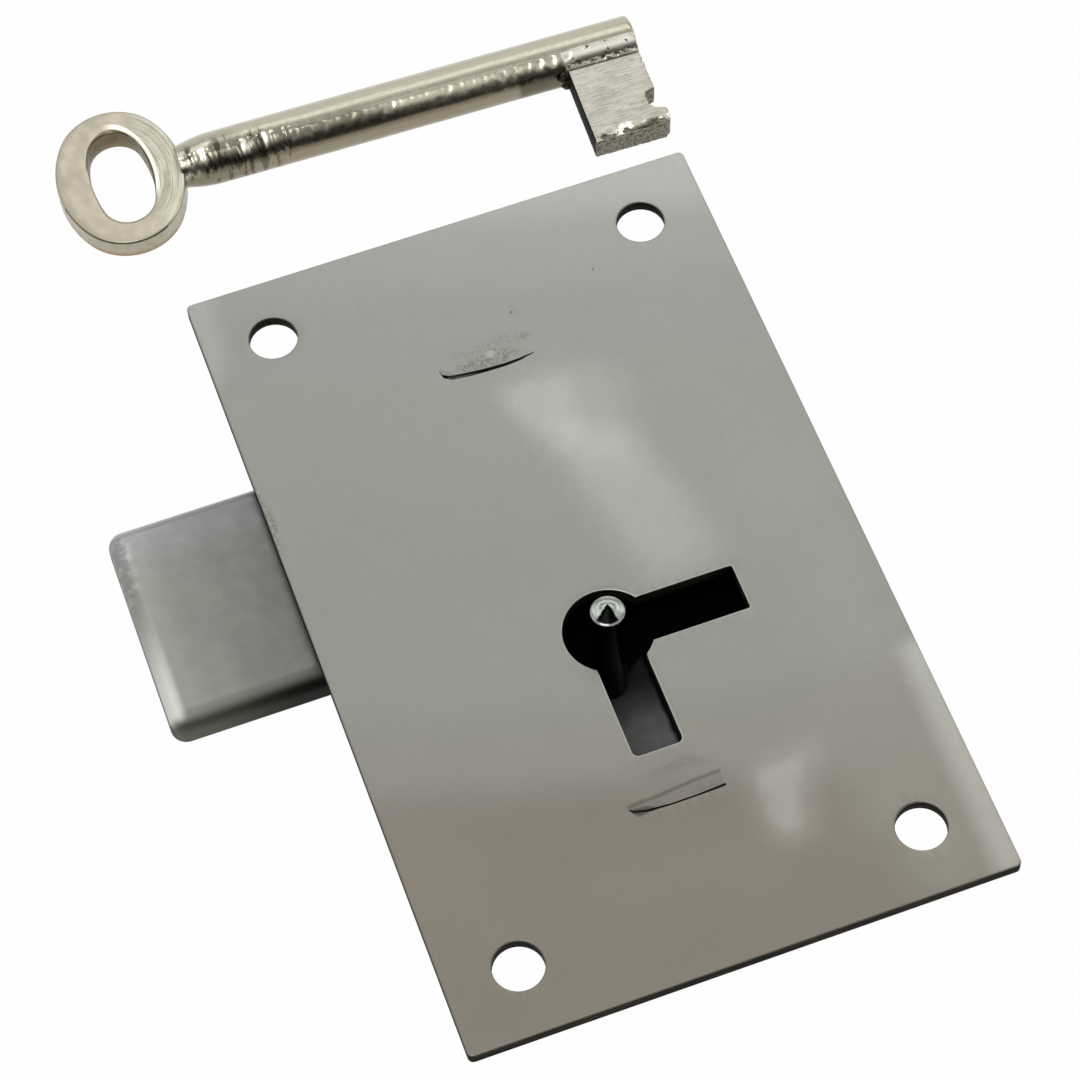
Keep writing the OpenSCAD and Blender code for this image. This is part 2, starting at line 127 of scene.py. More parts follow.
class Flow:
    """What comes out of a node. Each method adds a node that takes it on."""

    def __init__(self, node, out=0):
        self.socket, self.tree = node.outputs[out], node.id_data

    def into(self, kind, inputs, out=0, **settings):
        return Flow(add(self.tree, kind, inputs, **settings), out)

    def math(self, way, *others):
        return self.into("Math", dict(enumerate((self, *others))), operation=way)

    def vector(self, way, *others, out=0):
        return self.into("VectorMath", dict(enumerate((self, *others))), out, operation=way)

    def __mul__(self, other):
        return self.math("MULTIPLY", other)

    def xyz(self):
        parts = add(self.tree, "SeparateXYZ", {0: self})
        return [Flow(parts, k) for k in range(3)]

    def pair(self, other):
        """Two numbers as a place on a flat pattern."""
        return self.into("CombineXYZ", {0: self, 1: other})

    def length(self):
        return self.vector("LENGTH", out="Value")

    def toward(self, direction):
        """How far a place lies in a direction."""
        return self.vector("DOT_PRODUCT", direction, out="Value")

    def even(self, low, high, to_low=0.0, to_high=1.0, **settings):
        """Low to high becomes an even climb between two other values."""
        return self.into("MapRange", {"Value": self, "From Min": low, "From Max": high,
                                      "To Min": to_low, "To Max": to_high}, **settings)

    def spread(self, *ends):
        """The same, but as a soft step."""
        return self.even(*ends, interpolation_type="SMOOTHSTEP")

    def stretched(self, scale, turn=0.0, move=(0, 0, 0)):
        """The place, turned about Z in degrees, then squeezed or stretched."""
        turned_place = self.into("Mapping", {"Vector": self, "Location": move,
                                             "Rotation": (0, 0, math.radians(turn))},
                                 vector_type="TEXTURE")
        return turned_place.vector("MULTIPLY", scale)

    def grain(self, scale, detail=3.0, roughness=0.5):
        return self.into("TexNoise", {"Vector": self, "Scale": scale, "Detail": detail,
                                      "Roughness": roughness}, "Fac")

    def mix(self, below, above, way="MIX", share=None):
        """Mixes two colours by this share."""
        return self.into("Mix", {0: self if share is None else share, 6: full(below),
                                 7: full(above)}, 2, data_type="RGBA", blend_type=way)

    def paint(self, share, colour, way="MIX"):
        """This colour with a share of another over it."""
        return self.mix(self, colour, way, share)


print("a Flow can:", ", ".join(name for name in vars(Flow) if name[0] != "_"))

# %% [markdown]
# Marks on metal are soft ovals or soft shapes with straight sides. Both start from the
# place on the piece: distance from a centre gives an oval, and distances from a few lines,
# multiplied, give a facet. A little noise in the place makes their edges ragged. A colour
# ramp lays a row of tones along a share that runs from 0 to 1.

# %% Marks and colour ramps
def patch(place, centre, half, turn=0.0, soft=0.6, ragged=0.0):
    """A soft oval mark: 1 in its middle and 0 outside."""
    length = place.stretched((1 / half[0], 1 / half[1], 0), turn, (*centre, 0)).length()
    if ragged:
        rough = place.grain(0.9, 4).math("SUBTRACT", 0.5)
        length = rough.math("MULTIPLY_ADD", ragged, length)
    return length.spread(1 + soft / 2, 1 - soft)


def facet(place, corners, soft=1.5, ragged=0.0):
    """A mark with straight sides: 1 between its corners, which run anticlockwise."""
    if ragged:
        wobble = place.into("TexNoise", {"Vector": place, "Scale": 0.7, "Detail": 4.0}, "Color")
        place = wobble.vector("MULTIPLY_ADD", (ragged,) * 3, place)
    share = None
    for (ax, ay), (bx, by) in zip(corners, corners[1:] + corners[:1]):
        length = math.dist((ax, ay), (bx, by))
        inward = ((ay - by) / length, (bx - ax) / length, 0)
        start = inward[0] * ax + inward[1] * ay + ragged / 2 * (inward[0] + inward[1])
        side = place.toward(inward).spread(start - soft / 2, start + soft / 2)
        share = side if share is None else share * side
    return share


def ramp(share, stops):
    """Colours along a share from 0 to 1, as (share, colour)."""
    made = add(share.tree, "ValToRGB", {"Fac": share})
    elements = made.color_ramp.elements
    made.color_ramp.interpolation = "EASE"
    while len(elements) < len(stops):
        elements.new(0.5)
    for element, (at, colour) in zip(elements, stops):
        element.position, element.color = at, full(colour)
    return Flow(made)


print("marks ready:", patch.__name__, "and", facet.__name__)

# %% [markdown]
# Each finish starts and ends in the same way. Lengths are easier to judge in millimetres,
# so the coordinates are scaled once, at the start. At the end the shader gets its tone and
# its roughness, and every pattern that can be felt, such as file lines or pits, raises the
# surface by its depth in millimetres. Several Bump nodes in a row add up.

# %% Start a finish, and dress its shader
def start_finish(name, metallic, roughness, colour=(0.5, 0.5, 0.5)):
    """A new material with its shader, and the place on the piece in millimetres."""
    finish = bpy.data.materials.new(name)
    finish.use_nodes = True
    tree = finish.node_tree
    shader = tree.nodes["Principled BSDF"]
    shader.inputs["Metallic"].default_value = metallic
    shader.inputs["Roughness"].default_value = roughness
    shader.inputs["Base Color"].default_value = full(colour)
    metres = Flow(add(tree, "TexCoord"), "Object")
    return finish, shader, metres.into("VectorMath", {0: metres, 3: 1000}, operation="SCALE")


def dress(shader, tone, heights, roughness=None):
    """Gives the shader its tone, and joins heights, as (flow, millimetres), into one bump."""
    normal = {}
    for height, depth in heights:
        bump = tone.into("Bump", {"Height": height, "Distance": depth * MM, "Strength": 1.0,
                                  **normal})
        normal = {"Normal": bump}
    flows = {"Base Color": tone, **normal}
    if roughness:
        flows["Roughness"] = roughness
    for name, flow in flows.items():
        tone.tree.links.new(flow.socket, shader.inputs[name])


print("a finish begins with", start_finish.__name__, "and ends with", dress.__name__)

# %% [markdown]
# ## The studio
# The lock and its key lie on a white table. The light is soft: a square window high above
# the lower left side, and a broad sheet beyond the lock that its plate reflects. The table
# and the room are plain white to the camera and to every mirror, but give the metal only a
# gentle light. Brighter lamps would whiten them too, and would wash out the steel.

# %% The table and the white surroundings
def own_network(owner):
    """The node tree of a material or the world, emptied."""
    owner.use_nodes = True
    owner.node_tree.nodes.clear()
    return owner.node_tree


def seen_or_mirrored(tree):
    """1 where the camera, a reflection or a refraction looks, and 0 for other light."""
    path = add(tree, "LightPath")
    camera_ray, *mirrored = [Flow(path, f"Is {ray} Ray")
                             for ray in ("Camera", "Glossy", "Transmission")]
    return camera_ray.math("MAXIMUM", mirrored[0]).math("MAXIMUM", mirrored[1])


table_z = cad_box[0].z
TABLE_HALF, TABLE_GLOW, AMBIENT = 3, 0.985, 0.6
corners = [(-TABLE_HALF, -TABLE_HALF), (TABLE_HALF, -TABLE_HALF), (TABLE_HALF, TABLE_HALF),
           (-TABLE_HALF, TABLE_HALF)]
table_mesh = bpy.data.meshes.new("table")
table_mesh.from_pydata([(x, y, table_z) for x, y in corners], [], [(0, 1, 2, 3)])
table = show("table", table_mesh)
white_top = bpy.data.materials.new("white_table")
tree = own_network(white_top)
matt = add(tree, "BsdfDiffuse", {"Color": (0.82, 0.82, 0.81, 1)})
glow = add(tree, "Emission", {"Color": (1, 1, 1, 1), "Strength": 1.0})
both = add(tree, "MixShader", {0: seen_or_mirrored(tree) * TABLE_GLOW, 1: matt, 2: glow})
add(tree, "OutputMaterial", {"Surface": both})
table_mesh.materials.append(white_top)

world = bpy.data.worlds.new("white_room")
bpy.context.scene.world = world
tree = own_network(world)
strength = seen_or_mirrored(tree).even(0, 1, AMBIENT, 1.0)
room = add(tree, "Background", {"Color": (1, 1, 1, 1), "Strength": strength})
add(tree, "OutputWorld", {"Surface": room})
bpy.context.scene.view_settings.view_transform = "Standard"
print("table at", round(table_z / MM, 2), "mm")

# %% [markdown]
# A lamp is placed by its azimuth and elevation, as a photographer would say it, and turned
# to face the lock. Its size sets how soft its light is. Two lamps are enough here.

# %% The lamps
def lamp(name, azimuth, elevation, distance, size, watts):
    """A soft square light. Azimuth 0 is the lock's bolt side, -90 its lower side."""
    a, e = math.radians(azimuth), math.radians(elevation)
    toward = Vector((-math.cos(a) * math.cos(e), math.sin(a) * math.cos(e), math.sin(e)))
    light = bpy.data.lights.new(name, "AREA")
    light.shape = "RECTANGLE"
    light.size, light.size_y = size
    light.energy = watts
    made = show(name, light)
    made.location = toward * distance
    made.rotation_mode = "QUATERNION"
    made.rotation_quaternion = toward.to_track_quat("Z", "Y")
    print(name, "shines from", [round(v, 2) for v in made.location], "with", watts, "W")


lamp("window", -42, 71, 0.6, (0.30, 0.30), 0.95)
lamp("far_sheet", 115, 50, 0.8, (0.50, 0.30), 0.5)

# %% [markdown]
# Metal shows whatever stands round it, so the photographer works inside a tent whose wall
# is bright beyond the lock, a little grey overhead and dark on the camera's side, where
# the room is. The dark side gives the round shank its dark band. The tent is hidden from
# the camera and from the shadows, so only shiny metal can see it.

# %% The tent
def bands(rings, count, start=0, stride=None):
    """Faces between rings of count points each. stride is the step from ring to ring."""
    stride = stride or count
    faces = []
    for at in range(start, start + (rings - 1) * stride, stride):
        for k in range(count):
            after = (k + 1) % count
            faces.append((at + k, at + after, at + stride + after, at + stride + k))
    return faces


TENT_RADIUS, COLUMNS, ROWS, TENT_GLOW = 1.4, 48, 14, 1.2
tent_points = []
for row in range(ROWS):
    e = math.radians(90 * row / ROWS)
    for k in range(COLUMNS):
        a = 2 * math.pi * k / COLUMNS
        tent_points.append((TENT_RADIUS * math.cos(a) * math.cos(e),
                            TENT_RADIUS * math.sin(a) * math.cos(e),
                            table_z + TENT_RADIUS * math.sin(e)))
tent_faces = bands(ROWS, COLUMNS) + [tuple(range((ROWS - 1) * COLUMNS, ROWS * COLUMNS))]
tent_mesh = bpy.data.meshes.new("tent")
tent_mesh.from_pydata(tent_points, [], tent_faces)
tent = show("tent", tent_mesh)
tent_cloth = bpy.data.materials.new("tent_cloth")
tree = own_network(tent_cloth)
_, y, z = Flow(add(tree, "TexCoord"), "Object").xyz()
lean = (y * -1).math("ARCTAN2", z)
TENT_WALL = [(-90, 0.78), (-55, 0.85), (-33, 0.96), (-15, 0.86), (2, 0.58), (18, 0.66),
             (29, 0.86), (40, 0.50), (50, 0.16), (68, 0.06), (90, 0.045)]
wall_tone = ramp(lean.even(math.radians(-90), math.radians(90)),
                 [((at + 90) / 180, (v, v * 0.985, v * 0.95)) for at, v in TENT_WALL])
tent_glow = add(tree, "Emission", {"Color": wall_tone, "Strength": TENT_GLOW})
add(tree, "OutputMaterial", {"Surface": tent_glow})
tent_mesh.materials.append(tent_cloth)
tent.visible_camera = tent.visible_diffuse = False
tent.visible_shadow = tent.visible_transmission = False
print("tent:", len(tent_faces), "panels,", TENT_RADIUS, "m in radius")

# %% [markdown]
# ## Steel finishes
# The plate is cold rolled steel, rubbed down on a belt and handled since. It is dull enough that no
# picture shows in it. Its soft light patches, where the sheet isn't quite flat, are painted
# reflections, and so is the way it grows lighter towards its top. Towards its lower edge the tone
# turns warmer, which is the steel's own colour. These lists say where: the tones across the sheet,
# the painted reflections and the dirt, each with its corners in millimetres from the middle of the
# plate, its softness, its raggedness and its strength.

# %% Where the plate gets painted reflections, and where it is dirty
PLATE_TONES_AND_SHEEN = [
    (0.00, (0.196, 0.177, 0.152)), (0.10, (0.202, 0.182, 0.155)),
    (0.15, (0.198, 0.181, 0.158)), (0.22, (0.226, 0.222, 0.200)),
    (0.34, (0.236, 0.243, 0.221)), (0.50, (0.233, 0.242, 0.221)),
    (0.75, (0.242, 0.251, 0.230)), (0.90, (0.243, 0.250, 0.233)),
    (0.967, (0.270, 0.275, 0.259)), (1.00, (0.338, 0.343, 0.324))]
PAINTED_REFLECTIONS = [
    ([(-0.4, 19.6), (-0.6, 16.2), (2.6, 12.6), (4.6, 12.4), (5.8, 19.0)], 2.8, 1.6, 0.10),
    ([(-0.6, 20.2), (-0.2, 15.4), (3.4, 10.0), (8.6, 8.6), (10.0, 18.6), (4.6, 21.0)],
     5.0, 1.6, 0.09),
    ([(1.6, 14.0), (2.6, 5.0), (5.6, -3.6), (12.0, -2.2), (10.0, 9.0), (7.0, 14.0)],
     5.5, 1.6, 0.14),
    ([(6.7, -22.6), (6.0, -28.0), (8.0, -28.8), (10.5, -22.7)], 1.6, 1.0, 0.10),
    ([(6.0, -22.0), (5.4, -29.4), (9.0, -30.0), (12.4, -21.8)], 3.6, 1.2, 0.10),
    ([(14.0, 6.0), (16.0, -18.0), (23.6, -18.0), (23.6, 6.0)], 8.0, 3.0, 0.03),
    ([(21.9, -16.0), (21.4, -38.4), (24.2, -38.4), (24.2, -16.0)], 2.6, 0.6, 0.24),
    ([(-24.2, 39.0), (-24.2, 28.0), (-21.6, 31.0), (-21.0, 39.0)], 2.6, 0.6, 0.10)]
SOFT_DIRT = [
    ([(-4.7, 23.5), (-4.6, 22.7), (-3.4, 22.3), (-4.0, 23.2)], 0.4, 0.2, 0.22),
    ([(-4.3, -22.3), (-3.7, -23.2), (-1.9, -23.0), (-2.6, -22.5)], 0.3, 0.2, 0.80),
    ([(-4.4, -21.9), (-4.3, -22.2), (4.0, -21.65), (4.0, -21.35)], 0.30, 0.25, 0.55),
    ([(-4.1, -22.0), (-4.0, -22.8), (3.9, -22.9), (3.9, -21.5)], 0.3, 0.2, 0.10),
    ([(-2.0, -19.9), (-1.6, -20.3), (3.6, -20.4), (2.2, -19.2)], 0.8, 0.8, 0.14),
    ([(-16.0, -19.0), (-16.0, -27.0), (4.0, -27.0), (4.0, -21.0)], 5.0, 2.0, 0.06)]
print(len(PAINTED_REFLECTIONS), "light marks and", len(SOFT_DIRT), "dirty ones")

# %% [markdown]
# The tone is a colour ramp across the sheet, which also carries a painted reflection. The painted
# reflections are soft shapes with ragged edges painted over it, and two stretched noises give the
# belt's lines and the faint cloudiness. Speckled smudges lie where the tabs were hammered over. A
# picture of real steel would repeat or blur, but a pattern of nodes stays sharp at any size.

# %% The plate's rubbed steel
def rubbed_plate_steel():
    finish, shader, place = start_finish("rubbed_plate_steel", 1.0, 0.42)
    # Painted reflection: the tone ramp grows lighter towards the top, as if the bright wall beyond
    # showed in the sheet. Its warmer lower end is the steel's own tone.
    tone = ramp(place.toward((0.28, 1.0, 0)).spread(-46, 46), PLATE_TONES_AND_SHEEN)
    not_warm = facet(place, [(11.0, -18.0), (15.5, -39.0), (24.2, -39.0), (24.2, -14.0)], 6.0, 2.0)
    tone = tone.paint(not_warm * 0.8, (0.236, 0.231, 0.203))
    # Painted reflections: soft light patches on the sheet, and thin painted highlights along its
    # left and right edges.
    for *mark, lift in PAINTED_REFLECTIONS:
        tone = tone.paint(facet(place, *mark) * lift, (0.72, 0.72, 0.69))
    cloud = place.grain(0.16, 4, 0.6).spread(0.3, 0.7, 0.0, 0.4)
    tone = tone.paint(cloud, (0.93, 0.94, 0.95), "MULTIPLY")
    lines = place.stretched((9, 0.35, 1), 4).grain(1.0, 3, 0.6)
    tone = tone.paint(lines.spread(0.3, 0.7, 0.0, 0.25), (0.92, 0.92, 0.92), "MULTIPLY")
    speckle = place.grain(3.2, 4, 0.6).spread(0.42, 0.58)
    hammered = [(-3.4, 23.2), (-3.0, 22.4), (0.9, 22.2), (2.6, 23.0), (0.6, 23.9)]
    smudges = [
        (facet(place, hammered, 0.8, 0.8), 0.50),
        (patch(place, (-0.4, 24.2), (3.2, 1.0), 6, 0.9, 2.4), 0.20),
        (patch(place, (3.3, 24.3), (0.7, 0.4), 8, 0.8, 1.0), 0.45),
        (patch(place, (0.6, -19.4), (3.4, 1.2), -20, 0.9, 2.0), 0.12),
        (patch(place, (-23.3, 14.0), (0.5, 3.4), 0, 0.9, 1.2), 0.60)]
    for mark, depth in smudges:
        tone = tone.paint(mark * speckle * depth, (0.085, 0.080, 0.060))
    rubbed_clean = patch(place, (0.0, 23.5), (0.5, 0.4), 0, 0.8)
    tone = tone.paint(rubbed_clean * 0.35, (0.5, 0.5, 0.46))
    for *mark, depth in SOFT_DIRT:
        tone = tone.paint(facet(place, *mark) * depth, (0.06, 0.06, 0.05))
    for centre, size in (((3.2, 27.0), 0.16), ((11.5, 28.7), 0.13)):
        tone = tone.paint(patch(place, centre, (size, size), 0, 0.5) * 0.6, (0.05, 0.05, 0.04))
    heights = [(lines, 0.00015), (place.grain(0.35, 2), 0.012), (place.grain(6, 4, 0.7), 0.0003)]
    dress(shader, tone, heights, lines.spread(0.3, 0.7, 0.41, 0.44))
    return finish


plate_finish = rubbed_plate_steel()
print(plate_finish.name, "has", len(plate_finish.node_tree.nodes), "nodes")

# %% [markdown]
# The other steels share one recipe: a base tone, a cloudy change of tone, lines in one direction
# from the rolling mill, belt or lathe, and small pits. Only the numbers differ, so one function
# makes them all. Sheared walls are torn and painted almost black as shade, and the case is duller
# than the plate.

# %% One recipe for the other metals
def worked_metal(name, colour, worn, roughness, lines=(8, 0.4, 8), turn=0):
    finish, shader, place = start_finish(name, 1.0, roughness, colour)
    cloudy = place.grain(0.3, 4, 0.6).spread(0.32, 0.68)
    streaks = place.stretched(lines, turn).grain(1.0, 3, 0.6)
    tone = cloudy.mix(colour, worn)
    tone = tone.paint(streaks.spread(0.35, 0.75, 0, 0.35), [0.72 * v for v in colour])
    dress(shader, tone, [(streaks, 0.0008), (place.grain(5, 4, 0.7), 0.002)],
          streaks.spread(0.3, 0.7, roughness - 0.05, roughness + 0.06))
    return finish


def black_wall(name, rust):
    """Almost black, as painted shade on a wall that faces away from the light; a little rust colour
    shows in it.
    """
    finish, shader, place = start_finish(name, 0.0, 0.7)
    rusty = place.stretched((0.3, 0.3, 3)).grain(1.0, 4).spread(0.40, 0.65)
    shader.inputs["Specular IOR Level"].default_value = 0.08
    dress(shader, rusty.mix((0.004, 0.004, 0.003), rust), [(place.grain(5, 4, 0.7), 0.006)])
    return finish


BRIGHT_STEEL, DULL_STEEL = (0.42, 0.42, 0.40), (0.34, 0.34, 0.32)
# The torn walls get painted shade: they are almost black.
sheared_finish = black_wall("sheared_wall_steel", (0.022, 0.017, 0.010))
# The keyhole's rolled rim is painted brighter than the plate, as a painted highlight.
rim_highlight_finish = worked_metal("rim_highlight_steel", BRIGHT_STEEL, DULL_STEEL, 0.40)
tab_finish = worked_metal("staked_tab_steel", (0.16, 0.155, 0.14), (0.12, 0.115, 0.10), 0.5)
case_finish = worked_metal("rolled_case_steel", (0.30, 0.31, 0.29), (0.24, 0.245, 0.225), 0.48,
                           turn=6)
turned_finish = worked_metal("turned_post_steel", BRIGHT_STEEL, DULL_STEEL, 0.34, (1, 1, 14))
lever_finish = worked_metal("blanked_lever_brass", (0.62, 0.44, 0.17), (0.50, 0.34, 0.12), 0.36,
                            (0.5, 9, 9))
spring_finish = worked_metal("spring_bronze", (0.60, 0.38, 0.18), (0.50, 0.30, 0.13), 0.30,
                             (0.5, 0.5, 12))
print("steels and brasses:", len(bpy.data.materials), "materials so far")

# %% [markdown]
# Two steels need more than the recipe. The inside of the case is black with old oil and painted
# shade, and on the floor below the lower slot it gets a painted pool of window light, edged by the
# pin's painted shadow. The bolt was tumbled in a barrel, which left it smooth with a faint greenish
# cast. Its light and shade are painted: a painted highlight at its outer end, painted shade that
# deepens towards the plate, and painted shade, almost black, along its lower side.

# %% The oily case with its painted shade and light, and the tumbled bolt
def oily_steel_painted_shade():
    finish, shader, place = start_finish("oily_steel_painted_shade", 0.0, 0.55)
    _, y, z = place.xyz()
    # Painted light: a pool of window light on the floor below the lower slot, cut off along a
    # straight line where the pin's shadow would fall.
    rubbed = facet(place, [(-6.0, -11.0), (-6.0, -20.5), (3.35, -20.5), (3.35, -4.6)], 0.5, 0.4)
    on_floor = z.spread(-8.9, -9.3)
    light_pool_tone = place.grain(0.5, 4).spread(0.3, 0.7).mix((0.190, 0.200, 0.188), (0.250, 0.262, 0.248))
    # Painted shade: the pool darkens towards the keyhole, where the pin and the plate would shade
    # it.
    light_pool_tone = light_pool_tone.paint(y.spread(-12.5, -6.5), (0.028, 0.030, 0.028))
    shader.inputs["Specular IOR Level"].default_value = 0.03
    # Everywhere else the inside is painted nearly black, as old oil and painted shade.
    dress(shader, (rubbed * on_floor).mix((0.002, 0.002, 0.002), light_pool_tone),
          [(place.grain(5, 4, 0.7), 0.004)])
    return finish


def tumbled_bolt_painted_light():
    finish, shader, place = start_finish("tumbled_bolt_painted_light", 1.0, 0.34)
    x, y, z = place.xyz()
    # Painted shade: the tone is darkened more and more from the outer end towards the plate.
    shade_towards_plate = [(-37.0, 0.90), (-35.0, 0.82), (-32.0, 0.66), (-28.0, 0.545), (-24.5, 0.46),
            (-21.5, 0.10)]
    first, last = shade_towards_plate[0][0], shade_towards_plate[-1][0]
    shade = ramp(x.even(first, last),
                 [((at - first) / (last - first), (v, v, v)) for at, v in shade_towards_plate])
    cloudy = place.grain(0.22, 4, 0.6).spread(0.32, 0.68)
    tone = cloudy.mix((0.305, 0.312, 0.282), (0.275, 0.285, 0.262))
    tone = tone.paint(y.spread(12.0, 18.0), (0.335, 0.341, 0.352)).paint(1.0, shade, "MULTIPLY")
    # Painted highlight along the rounded outer end.
    painted_end_highlight = x.spread(-35.0, -36.1) * y.spread(13.0, 1.0)
    tone = tone.paint(painted_end_highlight * z.spread(-2.6, -2.1) * 0.7, (0.80, 0.81, 0.77))
    # Painted shade along the lower side: dark grey at the outer end, almost black towards the
    # plate.
    low_side_shade = x.spread(-36.3, -24.5).mix((0.135, 0.135, 0.105), (0.018, 0.018, 0.016))
    tone = tone.paint(y.spread(0.0, -1.1), low_side_shade)
    # Painted shade on the wall of the outer end, below its rounded edge.
    end_wall_shade = x.spread(-36.4, -36.75) * z.spread(-2.3, -2.9)
    tone = tone.paint(end_wall_shade * 0.8, (0.03, 0.03, 0.03))
    # Painted highlight: a lighter strip along the upper rounded edge.
    tone = tone.paint(y.spread(18.0, 18.8, 0.0, 0.6), (0.55, 0.56, 0.56))
    chipped = patch(place, (-36.3, 15.6), (1.3, 5.4), -6, 0.9, 1.4)
    flecks = place.grain(1.2, 5, 0.65).spread(0.42, 0.66)
    tone = tone.paint(chipped * flecks * 0.5, (0.62, 0.62, 0.58))
    low_edge, outer_edge = y.spread(1.0, -0.1, 0.0, 0.62), x.spread(-34.8, -35.9, 0.0, 0.58)
    dull = place.grain(0.8, 4).spread(0.3, 0.7, 0.30, 0.38)
    dress(shader, tone, [(place.grain(0.30, 3), 0.05), (place.grain(5, 4, 0.7), 0.0008)],
          dull.math("MAXIMUM", low_edge.math("MAXIMUM", outer_edge)))
    return finish


oily_shade_finish, bolt_finish = oily_steel_painted_shade(), tumbled_bolt_painted_light()
print(bolt_finish.name, "has", len(bolt_finish.node_tree.nodes), "nodes")

# %% [markdown]
# ## The key's nickel
# The key was cast, filed and plated with thin warm nickel. The plating is bright where it
# is rubbed and brown where it has worn into the pits. The key lies a little turned on the
# table, so its finishes measure along the shank from its tip. One recipe serves the walls
# and edges, and the wide surfaces get finishes of their own below.

# %% Worn nickel
KEY_TURN = math.radians(-1.8)
KEY_TIP = Vector((26.0, 57.6, -8.2))
key_place = Matrix.Translation(KEY_TIP) @ Matrix.Rotation(KEY_TURN, 4, "Z")


def start_nickel(name, roughness, colour=(0.5, 0.5, 0.5)):
    """A finish that also knows the place along the key."""
    finish, shader, place = start_finish(name, 1.0, roughness, colour)
    return finish, shader, place, place.stretched((1, 1, 1), math.degrees(KEY_TURN), KEY_TIP)


def worn_nickel(name, colour, brown, roughness, lines, pit_share, pits, line_depth=0.002,
                scale=1.6, under=None, level=(-0.2, -0.9)):
    """under is a second colour for the lower part of the piece, which starts between two heights,
    given as level.
    """
    finish, shader, _, along = start_nickel(name, roughness, colour)
    streaks = along.stretched(lines).grain(1.0, 4, 0.65)
    pitting = along.grain(scale, 5, 0.7)
    tone = along.grain(0.35, 3).spread(0.35, 0.65, 0, 0.6).mix(colour, [0.86 * v for v in colour])
    tone = tone.paint(streaks.spread(0.45, 0.8, 0, 0.45), brown)
    tone = tone.paint(pitting.spread(*pit_share, 0, 0.8), brown)
    if under:
        tone = tone.paint(along.xyz()[2].spread(*level), under)
    dress(shader, tone, [(streaks, line_depth), (pitting, pits)],
          pitting.spread(0.35, 0.75, roughness - 0.04, roughness + 0.16))
    return finish


bow_wall_finish = worn_nickel("bow_wall_nickel", (0.44, 0.41, 0.32), (0.28, 0.24, 0.16), 0.34,
                              (0.8, 0.8, 3), (0.62, 0.80), 0.004, under=(0.33, 0.225, 0.125))
# The hole's wall is painted darker than the outer wall, as shade.
bow_hole_shade_finish = worn_nickel("bow_hole_wall_shade", (0.170, 0.140, 0.090), (0.085, 0.070, 0.042), 0.42,
                              (0.8, 0.8, 3), (0.60, 0.78), 0.006, under=(0.22, 0.175, 0.105))
# The solder lump in the corner is painted nearly black, as shade.
lump_shade_finish = worn_nickel("shaded_solder_lump", (0.050, 0.045, 0.032), (0.020, 0.018, 0.012), 0.5,
                          (2, 2, 2), (0.50, 0.60), 0.03)
torn_finish = worn_nickel("torn_bit_edge", (0.250, 0.242, 0.190), (0.060, 0.056, 0.038), 0.45,
                          (1.2, 5, 5), (0.44, 0.60), 0.025, line_depth=0.02, scale=3.4)
# The wall towards the bow is painted almost black, as shade.
bit_wall_shade_finish = black_wall("shaded_bit_wall", (0.016, 0.016, 0.022))
print("key's tip at", [round(v, 1) for v in KEY_TIP], "mm")

# %% [markdown]
# The bow was ground flat on its far side, and filed round the hole towards the shank. The file's
# lines follow the ring: a noise on flat coordinates of radius and turn becomes rings. Round the
# hole, the broken edge gets a painted highlight where it would catch the window, and a line of
# painted shade just inside it.

# %% The filed bow
BOW_MIDDLE = -50.3
BOW_ROUND, HOLE_ROUND = 0.74, 0.548
HOLE_SHADE = (0.105, 0.085, 0.052)


def filed_bow_nickel():
    finish, shader, place, along = start_nickel("filed_bow_nickel", 0.32)
    from_middle = along.vector("SUBTRACT", (BOW_MIDDLE, 0, 0))
    x, y, _ = from_middle.xyz()
    radius = from_middle.vector("MULTIPLY", (1, BOW_ROUND, 0)).length()
    turn = y.math("ARCTAN2", x)
    file_lines = (radius * 5.0).pair(turn * 0.8).grain(1.0, 3, 0.6)
    filed = x.spread(1.8, 3.4)
    long_lines = along.stretched((1.2, 0.2, 0.2), 28).grain(1.0, 3, 0.5)
    tone = long_lines.spread(0.3, 0.7).mix((0.385, 0.352, 0.286), (0.345, 0.316, 0.256))
    tone = tone.paint(filed, (0.445, 0.430, 0.358))
    tone = tone.paint(filed * file_lines.spread(0.46, 0.60) * 0.65, (0.240, 0.230, 0.175))
    rim = from_middle.vector("MULTIPLY", (1, HOLE_ROUND, 0)).length()
    # Painted highlight on the hole's bevel at its right, where it would catch the window, with
    # painted shade just inside it.
    right = x.spread(-0.6, 1.0) * y.spread(-3.8, -2.0)
    painted_lip_highlight = rim.spread(3.06, 3.14) * rim.spread(3.50, 3.36)
    tone = tone.paint(painted_lip_highlight * right * 0.9, (0.84, 0.82, 0.73))
    tone = tone.paint(rim.spread(3.12, 3.04) * right, HOLE_SHADE)
    # Painted shade: a thin dark line inside the hole's edge at its upper left.
    upper_left_shade = x.spread(0.6, -0.4) * y.spread(1.0, 2.5)
    tone = tone.paint(rim.spread(3.10, 3.02) * upper_left_shade * 0.85, HOLE_SHADE)
    heights = [(file_lines * filed, 0.05), (along.grain(0.5, 2), 0.03), (place.grain(4, 4), 0.001)]
    dress(shader, tone, heights, along.grain(0.7, 4).spread(0.3, 0.7, 0.28, 0.38))
    return finish


bow_finish = filed_bow_nickel()
print(bow_finish.name, "has", len(bow_finish.node_tree.nodes), "nodes")

# %% [markdown]
# Painted light and shade round the shank stand in for its reflection of the tent: a duller streak
# along its top, a dark band on its side towards the bow, darker tones underneath and a dark patch
# in the corner by the bit. It is brown where the hammer struck. Near the bow it was nicked across,
# and the cuts are painted bright, partly as bare metal and partly as painted highlight; near the
# bit the light solder has run up it.
# Each of these is one facet, painted in turn, as a painter works from large to small. The
# places are in millimetres from the tip, along the shank and across it.

